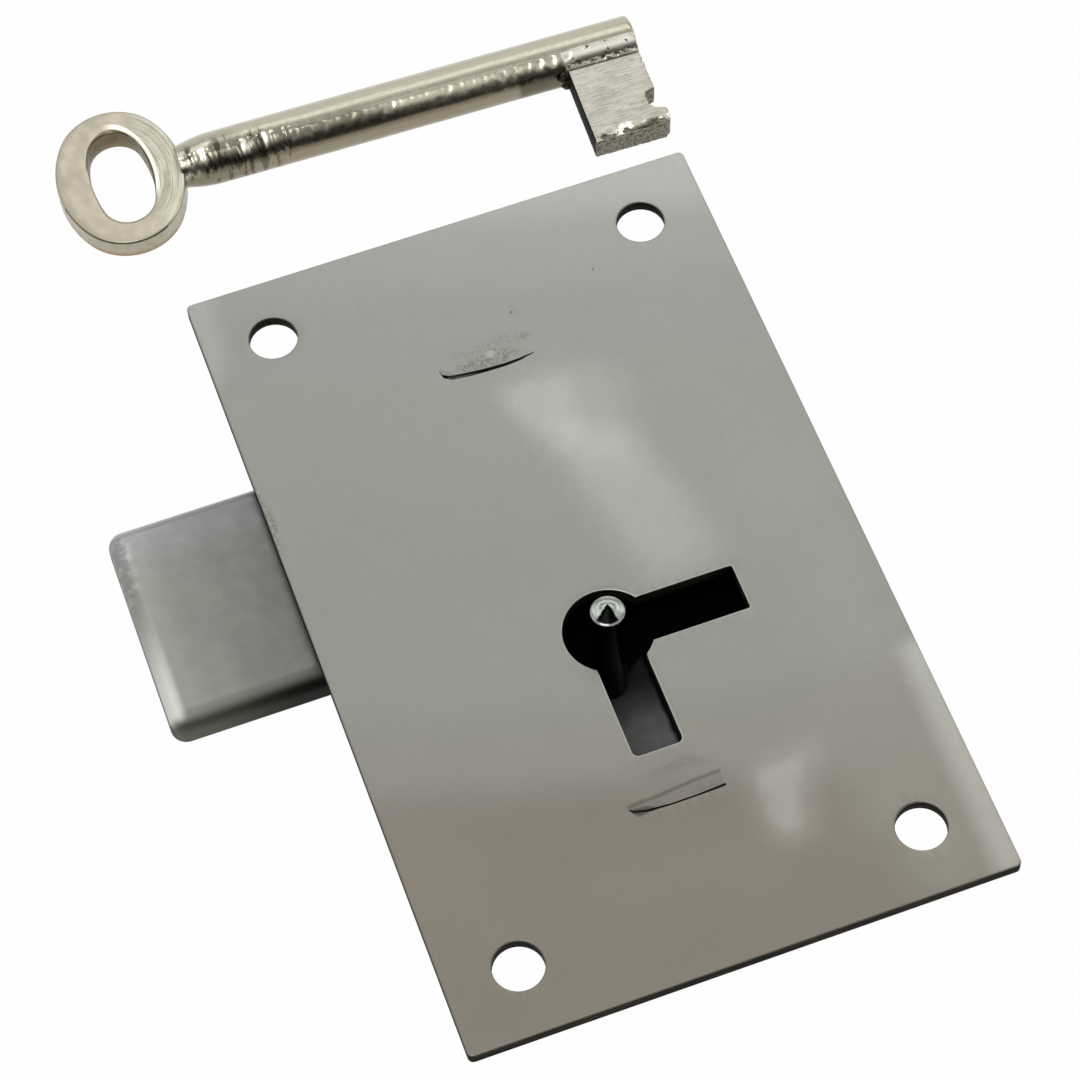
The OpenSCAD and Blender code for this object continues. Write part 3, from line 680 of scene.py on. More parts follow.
# %% The hammered shank
LIGHT_SOLDER, BURNT = (0.80, 0.785, 0.71), (0.04, 0.034, 0.022)
NICKEL, BROWN = (0.52, 0.492, 0.405), (0.30, 0.265, 0.19)
ROUND_PAINTED_SHADE = [(0.0, 1.0), (0.17, 1.0), (0.31, 0.68), (0.42, 0.74), (0.52, 0.80), (0.60, 0.88),
               (0.68, 1.0), (1.0, 1.0)]


def hammered_shank_nickel():
    finish, shader, _, along = start_nickel("hammered_shank_nickel", 0.20)
    _, y, z = along.xyz()
    streaks = along.stretched((0.10, 4, 4)).grain(1.0, 4, 0.65)
    pitting = along.grain(1.6, 5, 0.7)
    # Painted reflection: bands of lighter and darker tone round the shank, with a duller streak
    # along its top.
    tone = ramp(y.even(1.2, -2.4), [(at, [v * c for c in NICKEL]) for at, v in ROUND_PAINTED_SHADE])
    tone = tone.paint(streaks.spread(0.45, 0.8, 0, 0.45), BROWN)
    tone = tone.paint(pitting.spread(0.64, 0.80, 0, 0.8), BROWN)
    # Painted shade: a dark band on the side towards the bow.
    painted_dark_band = facet(along, [(-50.0, -0.75), (-50.0, -2.7), (-20.5, -2.7), (-27.0, -0.75)], 1.5, 0.9)
    tone = tone.paint(painted_dark_band * 0.72, (0.085, 0.074, 0.052))
    # Painted shade underneath, a little lighter again at the very bottom.
    tone = tone.paint(z.spread(1.6, 1.1), (0.19, 0.165, 0.12))
    tone = tone.paint(z.spread(0.9, 0.4), (0.28, 0.245, 0.175))
    neck = facet(along, [(-46.0, 0.7), (-46.0, -2.7), (-38.0, -2.7), (-39.0, 0.7)], 1.8, 1.0)
    tone = tone.paint(neck * 0.35, (0.11, 0.095, 0.068))
    # Painted shade: a dark patch in the corner by the bit, the reflection of the dark solder lump.
    corner = facet(along, [(-12.0, -2.0), (-12.0, -2.7), (-7.0, -2.7), (-7.0, -1.7)], 0.7, 0.3)
    tone = tone.paint(corner * 0.7, (0.06, 0.052, 0.035))
    blows = along.stretched((1.2, 0.3, 0.3)).grain(1.0, 3, 0.6).spread(0.52, 0.58)
    struck = facet(along, [(-46.0, 0.2), (-46.0, -2.7), (-34.0, -2.7), (-35.0, 0.2)], 1.4, 0.8)
    tone = tone.paint(struck * blows * 0.75, (0.03, 0.026, 0.018))
    mottled = facet(along, [(-47.0, 0.2), (-47.0, -1.8), (-42.4, -1.9), (-41.6, 0.2)], 0.7, 0.6)
    mottles = along.grain(0.9, 4, 0.65).spread(0.44, 0.54)
    tone = tone.paint(mottled * mottles * 0.8, (0.74, 0.70, 0.58))
    # The cuts are bare metal, and are painted brighter still as a highlight where their facets
    # catch the window.
    nicked = facet(along, [(-40.2, -0.6), (-39.8, -1.9), (-36.4, -1.8), (-36.0, -0.6)], 0.35, 0.5)
    cut_highlights = along.stretched((1.7, 0.12, 0.12), 8).grain(1.0, 2).spread(0.49, 0.53)
    tone = tone.paint(nicked * cut_highlights * 0.85, (0.86, 0.83, 0.73))
    solder = facet(along, [(-7.5, -0.85), (-7.3, -1.70), (0.5, -1.70), (0.5, -0.85)], 0.35, 0.45)
    tone = tone.paint(solder, LIGHT_SOLDER)
    below = facet(along, [(-7.3, -1.75), (-7.3, -2.6), (0.5, -2.6), (0.5, -1.75)], 0.3, 0.3)
    tone = tone.paint(below * 0.9, (0.60, 0.58, 0.49))
    tone = tone.paint(below * along.grain(1.3, 5, 0.75).spread(0.56, 0.61), BURNT)
    tone = tone.paint(solder * along.grain(1.5, 3).spread(0.62, 0.65), BURNT)
    dress(shader, tone, [(streaks, 0.002), (pitting, 0.003)],
          pitting.spread(0.35, 0.75, 0.16, 0.34))
    return finish


shank_finish = hammered_shank_nickel()
print(shank_finish.name, "has", len(shank_finish.node_tree.nodes), "nodes")

# %% [markdown]
# The solder is lighter than the nickel, with a row of dark burnt pits where it meets the bit. The
# bit has fine dark file lines along the shank, and a row of painted highlights on the chipped ridge
# of its torn outer edge. Both follow the same habit: a base mixed from two tones, then rows that
# are the product of a strip and a speckle.

# %% The solder and the brushed bit
def soldered_joint():
    finish, shader, _, along = start_nickel("soldered_joint", 0.26)
    y = along.xyz()[1]
    tone = along.grain(0.9, 4).spread(0.35, 0.65).mix((0.66, 0.64, 0.56), (0.46, 0.44, 0.37))
    tone = tone.paint(y.spread(-1.65, -1.45), LIGHT_SOLDER)
    row = y.spread(-1.60, -1.85) * y.spread(-2.30, -2.05)
    burnt = along.grain(1.3, 5, 0.75).spread(0.54, 0.60)
    tone = tone.paint(row * burnt * 0.92, (0.030, 0.025, 0.016))
    tone = tone.paint(along.grain(1.0, 3).spread(0.62, 0.66) * 0.8, (0.05, 0.04, 0.025))
    dress(shader, tone, [(along.grain(1.1, 4, 0.7), 0.03), (along.grain(5, 3), 0.002)])
    return finish


def brushed_bit_nickel():
    finish, shader, _, along = start_nickel("brushed_bit_nickel", 0.36)
    y = along.xyz()[1]
    fine = along.stretched((0.65, 9, 9), 2).grain(1.0, 6, 0.75)
    tone = along.grain(0.5, 4).spread(0.35, 0.65).mix((0.415, 0.402, 0.358), (0.350, 0.340, 0.300))
    tone = tone.paint(fine.spread(0.48, 0.62, 0, 0.6), (0.13, 0.125, 0.095))
    broken_corners = [(-1.3, -6.2), (0.6, -5.9), (0.9, -10.6), (-2.6, -10.6), (-2.0, -8.2)]
    broken = facet(along, broken_corners, 0.5, 0.8)
    tone = tone.paint(broken * 0.65, (0.52, 0.51, 0.435))
    tone = tone.paint(broken * along.grain(1.9, 5, 0.75).spread(0.53, 0.60), (0.13, 0.125, 0.085))
    # Painted highlights: a row of bright specks along the chipped ridge of the torn edge.
    row = y.spread(-9.3, -9.7) * y.spread(-10.7, -10.4)
    ridge_highlights = along.grain(0.8, 5, 0.7).spread(0.52, 0.56)
    tone = tone.paint(row * ridge_highlights, (0.82, 0.82, 0.76))
    dress(shader, tone, [(fine, 0.008), (along.grain(0.5, 2), 0.02)])
    return finish


solder_finish, bit_finish = soldered_joint(), brushed_bit_nickel()
print("key finishes:", bow_finish.name, shank_finish.name, bit_finish.name, solder_finish.name)

# %% [markdown]
# ## Outlines
# Nearly everything in a lock is cut from sheet, so each piece starts as a closed outline in
# millimetres, made of arcs and straight lines. The same few helpers round a corner, put in
# extra points and step an outline inwards. Curve objects could hold such outlines too, but
# plain lists of points can be changed point by point.

# %% Outlines in millimetres
def arc(centre, radius, start, end, steps=10):
    angles = np.radians(np.linspace(start, end, steps + 1))
    return [(centre[0] + radius * math.cos(a), centre[1] + radius * math.sin(a)) for a in angles]


def rounded_rectangle(centre, width, height, radius, steps=6):
    points = []
    for side_x, side_y, start in ((1, 1, 0), (-1, 1, 90), (-1, -1, 180), (1, -1, 270)):
        corner = (centre[0] + side_x * (width / 2 - radius),
                  centre[1] + side_y * (height / 2 - radius))
        points += arc(corner, radius, start, start + 90, steps)
    return points


def even_steps(points, step):
    """The closed outline with extra points, so that no stretch is longer than step."""
    made = []
    for a, b in zip(points, points[1:] + points[:1]):
        parts = max(1, math.ceil(math.dist(a, b) / step))
        made += [(a[0] + (b[0] - a[0]) * k / parts, a[1] + (b[1] - a[1]) * k / parts)
                 for k in range(parts)]
    return made


def stepped_in(loop, distance):
    """The loop moved towards the metal, which lies on its left."""
    edge = np.roll(loop, -1, 0) - loop
    edge /= np.linalg.norm(edge, axis=1)[:, None]
    normal = np.stack([-edge[:, 1], edge[:, 0]], 1)
    mitre = normal + np.roll(normal, 1, 0)
    mitre /= np.linalg.norm(mitre, axis=1)[:, None]
    stretch = 1 / np.clip((mitre * normal).sum(1), 0.5, 1)
    return loop + mitre * (distance * stretch)[:, None]


def inside(points, loops):
    """Which points lie in the metal, by counting the outlines to their right."""
    odd = np.zeros(len(points), bool)
    for loop in loops:
        for p, q in zip(loop, np.roll(loop, -1, 0)):
            if p[1] == q[1]:
                continue
            between = (p[1] > points[:, 1]) != (q[1] > points[:, 1])
            cross_x = p[0] + (points[:, 1] - p[1]) * (q[0] - p[0]) / (q[1] - p[1])
            odd ^= between & (points[:, 0] < cross_x)
    return odd


print("a 10 by 4 outline has", len(even_steps(rounded_rectangle((0, 0), 10, 4, 1), 0.5)), "points")

# %% [markdown]
# ## Sheets with rounded edges
# A flat face with holes needs a mesh of its own. Blender could fill it with one large face,
# but that can't carry dents. A Delaunay mesh copes with any holes, makes triangles that
# aren't too thin, and takes a fine grid of extra points, which are moved up or down later.

# %% Fill a flat face
def flat_fill(loops, spacing):
    """Triangles between the loops, with grid points inside. Returns extra points and faces."""
    low, high = loops[0].min(0), loops[0].max(0)
    extra = np.zeros((0, 2))
    if spacing:
        axes = [np.arange(low[k], high[k], spacing) for k in range(2)]
        grid = np.stack(np.meshgrid(*axes), -1).reshape(-1, 2) + spacing * 0.37
        near = [np.abs(grid[:, None] - loop[None]).max(2).min(1) for loop in loops]
        far_enough = np.min(near, axis=0) > 0.4 * spacing
        extra = grid[inside(grid, loops) & far_enough]
    points = np.concatenate([*loops, extra])
    edges, start = [], 0
    for loop in loops:
        count = len(loop)
        edges += [(start + k, start + (k + 1) % count) for k in range(count)]
        start += count
    found = delaunay_2d_cdt([Vector(p) for p in points], edges, [], 0, 1e-7)
    back = [ids[0] if ids else -1 for ids in found[3]]
    triangles = np.array([[back[v] for v in face] for face in found[2]])
    middle = points[triangles].mean(1)
    a, b, c = (points[triangles[:, k]] for k in range(3))
    area = (b[:, 0] - a[:, 0]) * (c[:, 1] - a[:, 1]) - (b[:, 1] - a[:, 1]) * (c[:, 0] - a[:, 0])
    triangles[area < 0] = triangles[area < 0][:, ::-1]
    return extra, triangles[inside(middle, loops) & (np.abs(area) > 1e-9)]


square = np.array([(0, 0), (4, 0), (4, 4), (0, 4)], float)
print("a square with a grid in it needs", len(flat_fill([square], 1.0)[1]), "triangles")

# %% [markdown]
# No cut edge is perfectly sharp: the press rolls it over a little, and that tiny round
# catches a line of light. A Bevel modifier could do it, but it stumbles at narrow slots.
# Here each outline is stepped inwards through a quarter circle at the top and bottom, and
# the two flat faces are filled.

# %% A sheet between two heights
def cut_sheet(outline, holes, low, high, rounds, spacing=0.0, relief=None, steps=4):
    """Vertices, faces and the number of wall faces. rounds holds (lower, upper) radii for
    each outline, and a radius may be a list with one number for each point."""
    loops = []
    for k, points in enumerate([outline] + holes):
        loop = np.array(points, float)
        turn = np.roll(loop, -1, 0)
        turning = (loop[:, 0] * turn[:, 1] - turn[:, 0] * loop[:, 1]).sum()
        loops.append(loop if (turning > 0) == (k == 0) else loop[::-1])
    vertices, faces, start = [], [], 0
    total = sum(len(loop) for loop in loops)
    quarter = np.radians(np.linspace(0, 90, steps + 1))
    for k in range(2 * (steps + 1)):
        upper = k > steps
        angle = quarter[2 * steps + 1 - k] if upper else quarter[k]
        for loop, pair in zip(loops, rounds):
            radius = np.broadcast_to(pair[1] if upper else pair[0], len(loop))
            flat = stepped_in(loop, radius * (1 - math.sin(angle)))
            drop = radius * (1 - math.cos(angle))
            vertices += [(x, y, h) for (x, y), h in zip(flat, high - drop if upper else low + drop)]
    for loop in loops:
        faces += bands(2 * (steps + 1), len(loop), start, total)
        start += len(loop)
    walls = len(faces)
    split = np.cumsum([len(loop) for loop in loops])[:-1]
    for level, upward in ((0, False), (2 * steps + 1, True)):
        ends = np.array(vertices[level * total:(level + 1) * total])[:, :2]
        extra, triangles = flat_fill(np.split(ends, split), spacing if upward else 0)
        numbers = np.concatenate([np.arange(total) + level * total,
                                  np.arange(len(extra)) + len(vertices)])
        height = high if upward else low
        vertices += [(x, y, height + (relief(x, y) if relief else 0)) for x, y in extra]
        faces += [tuple(int(numbers[v]) for v in (face if upward else face[::-1]))
                  for face in triangles]
    return vertices, faces, walls


trial = cut_sheet([(0, 0), (4, 0), (4, 2), (0, 2)], [], 0, 1, [(0.1, 0.1)])
print("a plain block from cut_sheet has", len(trial[1]), "faces")

# %% [markdown]
# Points and faces become a mesh, the mesh an object, and the object rides on its body and hides the
# exact solids that it stands for. Edges sharper than an angle stay crisp. The Weighted Normal
# modifier keeps the flat faces flat in the light beside the tiny rounds.

# %% Turn points and faces into a piece
def make_piece(name, vertices, faces, finishes, body, nodes=(), slot=None, place=None, pick=None,
               angle=40):
    """pick gives the number of the finish for a face's number."""
    mesh = bpy.data.meshes.new(name)
    points = [Vector(v) if place is None else place @ Vector(v) for v in vertices]
    mesh.from_pydata([p * MM for p in points], [], faces)
    mesh.validate()
    for finish in finishes:
        mesh.materials.append(finish)
    if pick:
        chosen = [pick(k) for k in range(len(mesh.polygons))]
        mesh.polygons.foreach_set("material_index", chosen)
    mesh.shade_smooth()
    mesh.set_sharp_from_angle(angle=math.radians(angle))
    mesh.update()
    piece = show(name, mesh)
    even = piece.modifiers.new("even_normals", "WEIGHTED_NORMAL")
    even.keep_sharp = True
    even.weight = 90
    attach(piece, body)
    if nodes:
        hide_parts(*nodes)
    print(f"{name}: {len(mesh.vertices)} points, {len(mesh.polygons)} faces, rides on {body}")


# %% [markdown]
# ## The plate
# The front plate is stamped from 1.2 mm sheet: the punch rolls the front edges over and leaves torn
# walls, which are painted almost black as shade, and the keyhole's rolled rim gets a painted
# highlight. Two tabs of the case come through it from behind and are hammered over, then the belt
# rubs them flush. What stays visible is a thin curved gap below each tab. The upper one starts
# thick at its left end and runs out to a point at the right.

# %% The keyhole and the two gaps beside the tabs
KEY_Y = -6.1


def keyhole():
    """A round eye with one slot to the right and one downwards."""
    radius, half, reach, corner, sharp = 3.85, 2.15, 11.85, 0.5, 0.18
    side = math.degrees(math.asin(half / radius))
    far = reach - corner
    points = arc((reach - sharp, sharp - half), sharp, -90, 0, 4)
    points += arc((reach - sharp, half - sharp), sharp, 0, 90, 4)
    points += arc((0, 0), radius, side, 270 - side, 40)
    points += arc((-half + corner, -far), corner, 180, 270, 5)
    points += arc((half - corner, -far), corner, 270, 360, 5)
    points += arc((0, 0), radius, 270 + side, 360 - side, 8)
    return even_steps([(x, y + KEY_Y) for x, y in points], 0.6)


def gap(stops):
    """A narrow opening along a line of stops, each as (x, y, width)."""
    fine = np.linspace(0, len(stops) - 1, 40)
    x, y, wide = (np.interp(fine, np.arange(len(stops)), v) for v in zip(*stops))
    upper = [(a, b + c / 2) for a, b, c in zip(x, y, wide)]
    lower = [(a, b - c / 2) for a, b, c in zip(x, y, wide)]
    return lower + upper[::-1]


upper_gap = gap([(-4.78, 23.35, 0.14), (-4.64, 22.74, 0.34), (-4.0, 22.36, 0.46),
                 (-2.34, 22.14, 0.40), (-0.76, 22.03, 0.34), (0.84, 21.98, 0.29),
                 (2.27, 22.06, 0.24), (3.65, 22.30, 0.05)])
lower_gap = gap([(-4.24, -22.30, 0.10), (-3.98, -22.66, 0.34), (-2.89, -22.90, 0.24),
                 (-0.8, -23.02, 0.13), (1.63, -23.0, 0.14), (3.38, -22.95, 0.24),
                 (3.94, -22.90, 0.20)])
print("keyhole:", len(keyhole()), "points; gaps:", len(upper_gap), len(lower_gap))

# %% [markdown]
# Now the sheet can be stamped. A flat face would mirror the tent too evenly, so the grid
# of points in it follows a gentle wave, and dips a little where the tabs were hammered.
# The face numbers tell which faces get the rubbed steel and which are torn walls.

# %% Stamp the plate
PLATE_WIDE, PLATE_HIGH, SHEET = 47, 76, 1.2
SCREW_X, SCREW_Y, SCREW_R = 17.25, 32, 2.15
PLATE_STEPS = 4


def plate_relief(x, y):
    """The sheet is never quite flat: it dips by a few hundredths round what was punched."""
    wave = noise.noise(Vector((x * 0.07, y * 0.07, 3.1)))
    wave += 0.4 * noise.noise(Vector((x * 0.2, y * 0.2, 7.7)))
    stake = sum(math.exp(-((x / 6) ** 2 + ((y - s) / 3) ** 2)) for s in (23, -22))
    return -0.03 - 0.02 * wave - 0.03 * stake


screw_holes = [arc((sx * SCREW_X, sy * SCREW_Y), SCREW_R, 0, 360, 47)[:-1]
               for sx in (-1, 1) for sy in (-1, 1)]
openings = screw_holes + [keyhole(), upper_gap, lower_gap]
outline = even_steps(rounded_rectangle((0, 0), PLATE_WIDE, PLATE_HIGH, 0.5), 1.2)
radii = [(0.05, 0.14)] + [(0.05, 0.12)] * 5 + [(0.0, 0.02)] * 2
sheet_points, sheet_faces, wall_count = cut_sheet(outline, openings, -SHEET, 0.0, radii, 1.0,
                                                  plate_relief, PLATE_STEPS)
before_keyhole = sum(len(loop) for loop in [outline] + screw_holes)
rim_faces = [(2 * PLATE_STEPS + 1) * n for n in (before_keyhole, before_keyhole + len(keyhole()))]


def plate_metal(k):
    """0 for the rubbed face, 1 for the torn walls in painted shade, 2 for the keyhole's rolled rim
    with its painted highlight.
    """
    if k >= wall_count:
        return 0
    if max(sheet_points[v][2] for v in sheet_faces[k]) < -0.08:
        return 1
    return 2 if rim_faces[0] <= k < rim_faces[1] else 0


make_piece("front_plate", sheet_points, sheet_faces, [plate_finish, sheared_finish, rim_highlight_finish],
           "lock_body", ["lock_plate"], "plate_steel", pick=plate_metal)
print("plate edges are rounded by", radii[0][1], "mm")

# %% [markdown]
# ## The case
# The case is one blank of sheet folded into a tray, so its lower edges are round bends. The
# bolt leaves through a mouth in the left wall. Instead of cutting with a Boolean, the
# rim's height simply drops where the mouth is. The back keeps four round holes, where the
# riveted ends of the posts show.

# %% The case's walls
CASE_Y, HALF_W, HALF_H, BEND, BACK_Z, FLOOR_Z = 0.25, 21.5, 23.2, 1.4, -10.7, -9.5
MOUTH_LOW, MOUTH_HIGH, MOUTH_Z = -1.65, 19.35, -4.75
case_loop = even_steps(rounded_rectangle((0, CASE_Y), 2 * HALF_W, 2 * HALF_H, BEND), 1.5)
for edge_y in (MOUTH_LOW, MOUTH_HIGH):
    k = next(i for i, (p, q) in enumerate(zip(case_loop, case_loop[1:]))
             if p[0] == q[0] == -HALF_W and min(p[1], q[1]) < edge_y < max(p[1], q[1]))
    step = 0.01 if case_loop[k][1] > case_loop[k + 1][1] else -0.01
    case_loop[k + 1:k + 1] = [(-HALF_W, edge_y + step), (-HALF_W, edge_y - step)]
case_loop = np.array(case_loop)
count = len(case_loop)
in_mouth = ((case_loop[:, 0] < -HALF_W + 0.01) & (case_loop[:, 1] > MOUTH_LOW)
            & (case_loop[:, 1] < MOUTH_HIGH))

levels = [(BEND * (1 - math.sin(a)), BACK_Z + BEND * (1 - math.cos(a)))
          for a in np.radians(np.linspace(0, 90, 7))]
levels += [(0, -1.25), (0.05, -1.2), (SHEET - 0.05, -1.2), (SHEET, -1.25)]
INNER_LEVEL = len(levels) - 2
levels += [(SHEET, -9.2), (SHEET + 0.09, -9.41), (SHEET + 0.3, FLOOR_Z)]
case_points = []
for depth, height in levels:
    z = np.where(in_mouth & (height > -9), min(height, MOUTH_Z), height)
    case_points += [(x, y, h) for (x, y), h in zip(stepped_in(case_loop, depth), z)]
case_faces = bands(len(levels), count)
print("case walls:", len(levels), "rings of", count, "points")

# %% [markdown]
# The back is filled round the rivet holes. The floor inside is a second, plain fill, and together
# with the inner walls it gets the oily finish: painted nearly black as shade, with a painted pool
# of light below the lower slot.

# %% The case's back and floor
RIVETS = [((0, KEY_Y), 0.93), ((15.5, 10), 1.24), ((-18.1, 19.85), 0.806), ((-15, -1.4), 0.93)]
rivet_holes = [np.array(arc(c, r + 0.03, 360, 0, 32)[:-1]) for c, r in RIVETS]
_, triangles = flat_fill([stepped_in(case_loop, BEND)] + rivet_holes, 0)
numbers = list(range(count))
for hole in rivet_holes:
    start, n = len(case_points), len(hole)
    numbers += range(start, start + n)
    case_points += [(x, y, z) for z in (BACK_Z, BACK_Z + 0.4) for x, y in hole]
    case_faces += [(start + (i + 1) % n, start + i, start + n + i, start + n + (i + 1) % n)
                   for i in range(n)]
case_faces += [tuple(int(numbers[v]) for v in face[::-1]) for face in triangles]
floor_start = (len(levels) - 1) * count
_, triangles = flat_fill([stepped_in(case_loop, SHEET + 0.3)], 0)
inner_faces = set(range(INNER_LEVEL * count, floor_start))
inner_faces |= set(range(len(case_faces), len(case_faces) + len(triangles)))
case_faces += [tuple(int(floor_start + v) for v in face) for face in triangles]
make_piece("folded_case", case_points, case_faces, [case_finish, oily_shade_finish], "lock_body",
           ["case"], "case_steel", pick=lambda k: int(k in inner_faces), angle=50)

# %% [markdown]
# The two tabs are part of the same blank. Their ends fill the slots in the plate, just
# below its face, so that the gaps look dark but closed.

# %% The two staked tabs
TAB_WIDE, TAB_LOW, TAB_TOP = 8.6, -1.4, -0.35
for name, y in (("upper_tab", CASE_Y + HALF_H - SHEET / 2),
                ("lower_tab", CASE_Y - HALF_H + SHEET / 2)):
    shape = rounded_rectangle((0, y), TAB_WIDE, SHEET, 0.1, 3)
    tab_points, tab_faces, _ = cut_sheet(shape, [], TAB_LOW, TAB_TOP, [(0.0, 0.08)])
    make_piece(name, tab_points, tab_faces, [tab_finish], "lock_body", slot="case_steel")

# %% [markdown]
# ## The bolt
# The bolt is a flat bar whose long edges and end were rounded in a tumbling barrel, so the end
# shows a broad bright edge, which its finish strengthens with a painted highlight. Behind the plate
# it has a notch for the key and a slot that slides on a stud. One outline gives all of that, with a
# large radius outside and a small one in the slot.

# %% Shape the bolt
BOLT_END, BOLT_TAIL, BOLT_LOW, BOLT_TOP = -36.85, 6.5, -1.4, 19.1
BOLT_UNDER, BOLT_FACE, BOLT_CORNER = -4.5, -1.5, 1.4
TALON_LEFT, TALON_WIDE, TALON_TOP, TALON_CORNER = -11.0, 9.0, 4.93, 0.8
STUD_X, STUD_Y, SLOT_R = 2.4, 15.1, 2.0


def bolt_outline():
    corner, r = BOLT_CORNER, TALON_CORNER
    left, right = TALON_LEFT, TALON_LEFT + TALON_WIDE
    points = arc((BOLT_END + corner, BOLT_TOP - corner), corner, 90, 180, 8)
    points += arc((BOLT_END + corner, BOLT_LOW + corner), corner, 180, 270, 8)
    points += [(left, BOLT_LOW)] + arc((left + r, TALON_TOP - r), r, 180, 90, 6)
    points += arc((right - r, TALON_TOP - r), r, 90, 0, 6)
    points += [(right, BOLT_LOW), (BOLT_TAIL, BOLT_LOW)]
    points += arc((BOLT_TAIL - corner, BOLT_TOP - corner), corner, 0, 90, 8)
    return even_steps(points, 0.8)


def bolt_relief(x, y):
    """The tumbled faces are slightly wavy, and the outer end is worn a little lower."""
    wave = noise.noise(Vector((x * 0.16, y * 0.16, 5.2)))
    return -0.02 - 0.02 * wave - 0.03 * max(0.0, (-33 - x) / 3.5)


slot = arc((STUD_X + 0.1, STUD_Y), SLOT_R, -90, 90, 12)
slot += arc((STUD_X - 13.1, STUD_Y), SLOT_R, 90, 270, 12)
bolt_points, bolt_faces, _ = cut_sheet(bolt_outline(), [even_steps(slot, 1.0)], BOLT_UNDER,
                                       BOLT_FACE, [(0.45, 1.25), (0.1, 0.1)], 0.8, bolt_relief, 9)
make_piece("thrown_bolt", bolt_points, bolt_faces, [bolt_finish], "bolt_slider", ["bolt"],
           "bolt_steel", angle=60)

# %% [markdown]
# ## The drill pin
# The pin is turned on a lathe, which leaves a crisp rim and a shallow pointed end. Turned
# parts come from one profile spun round an axis; Blender has a Screw modifier for that,
# but spinning the points ourselves keeps the mesh clean at the tip.

# %% Spin a profile
def turned(profile, steps=64):
    """Spins (radius, height) pairs round Z. The first and last pairs may lie on the axis."""
    vertices, faces = [], []
    for radius, height in profile:
        if radius == 0:
            vertices.append((0, 0, height))
        else:
            vertices += [(radius * math.cos(2 * math.pi * k / steps),
                          radius * math.sin(2 * math.pi * k / steps), height)
                         for k in range(steps)]
    at = 0
    for (r0, _), (r1, _) in zip(profile, profile[1:]):
        n0, n1 = (1 if r0 == 0 else steps), (1 if r1 == 0 else steps)
        for k in range(steps):
            j = (k + 1) % steps
            if n0 == 1:
                faces.append((at, at + 1 + j, at + 1 + k))
            elif n1 == 1:
                faces.append((at + k, at + j, at + n0))
            else:
                faces.append((at + k, at + j, at + n0 + j, at + n0 + k))
        at += n0
    return vertices, faces


PIN_PROFILE = [(0, -10.7), (0.90, -10.7), (0.93, -10.67), (0.93, -9.45), (1.5, -9.45),
               (1.5, 3.12), (1.485, 3.17), (1.44, 3.215), (1.36, 3.26), (0.9, 3.50),
               (0.42, 3.74), (0.2, 3.84), (0.08, 3.885), (0, 3.9)]
pin_points, pin_faces = turned(PIN_PROFILE)
print("pin:", len(pin_points), "points")

# %% [markdown]
# The tip is polished, with fine rings from the lathe and a dark wedge of painted reflection on its
# front. Down its sides the pin is painted black as shade, apart from one narrow painted glint.

# %% Polish the pin
def polished_pin_steel():
    finish, shader, place = start_finish("polished_pin_steel", 1.0, 0.14)
    out = place.vector("SUBTRACT", (0, KEY_Y, 0)).vector("MULTIPLY", (1, 1, 0))
    # Painted reflection: a dark wedge on the front of the tip.
    reflection_way = out.vector("SUBTRACT", (0.12, 0.35, 0)).vector("NORMALIZE")
    reflection_way = reflection_way.toward((-0.36, -0.93, 0))
    radius = out.length()
    rings = (radius * 2.6).pair(reflection_way * 0.7).grain(1.0, 4, 0.6)
    cap = rings.spread(0.42, 0.60).mix((0.56, 0.60, 0.59), (0.24, 0.26, 0.25))
    ragged = place.grain(1.6, 4).math("MULTIPLY_ADD", 0.35, reflection_way)
    painted_dark_reflection = ragged.spread(0.90, 1.02) * radius.spread(1.36, 1.22)
    cap = cap.paint(painted_dark_reflection, (0.003, 0.003, 0.003))
    # Painted shade down the sides, with one narrow painted glint.
    painted_glint = out.vector("NORMALIZE").toward((0.342, -0.94, 0)).spread(0.975, 0.995)
    side = painted_glint.mix((0.004, 0.004, 0.004), (0.10, 0.10, 0.10))
    dress(shader, side.paint(place.xyz()[2].spread(3.18, 3.24), cap),
          [(place.grain(1.1, 3), 0.03), (place.grain(6, 4), 0.002)])
    return finish


make_piece("turned_drill_pin", pin_points, pin_faces, [polished_pin_steel()], "lock_body",
           ["drill_pin"], "pin_steel", Matrix.Translation((0, KEY_Y, 0)), angle=35)

# %% [markdown]
# ## Inside the case
# The levers, washers, springs and posts are already the right shape, so the exact solids
# stay and only get their metal. The levers are blanked from brass, the springs are bronze
# strip, and the posts are turned steel.

# %% Metal for the inner parts
POSTS = ("bolt_stump", "bolt_guide_stud", "lever_pivot", "spring_post", "lever_stop_post")
inner = {post: turned_finish for post in POSTS}
inner.update({"ward": oily_shade_finish, "pivot_washers": spring_finish})
for k in (1, 2, 3):
    inner.update({f"lever_{k}": lever_finish, f"lever_spring_{k}": spring_finish})
for node, finish in inner.items():
    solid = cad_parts[node]
    solid.data.materials.clear()
    solid.data.materials.append(finish)
print("inner parts with a finish:", len(inner))

# %% [markdown]
# ## The key's bow
# The bow is a flat oval ring. Each side was ground flat and its edges were broken with a
# file, wider round the hole. Four arcs make the oval: two tight ones at the ends and two
# wide ones along the sides.

# %% File the bow
BOW_HALF_LENGTH, BOW_HALF_HEIGHT, BOW_HALF_THICK, BOW_STEPS = 5.95, 7.75, 1.15, 5
BOW_X = BOW_HALF_LENGTH - 56.3


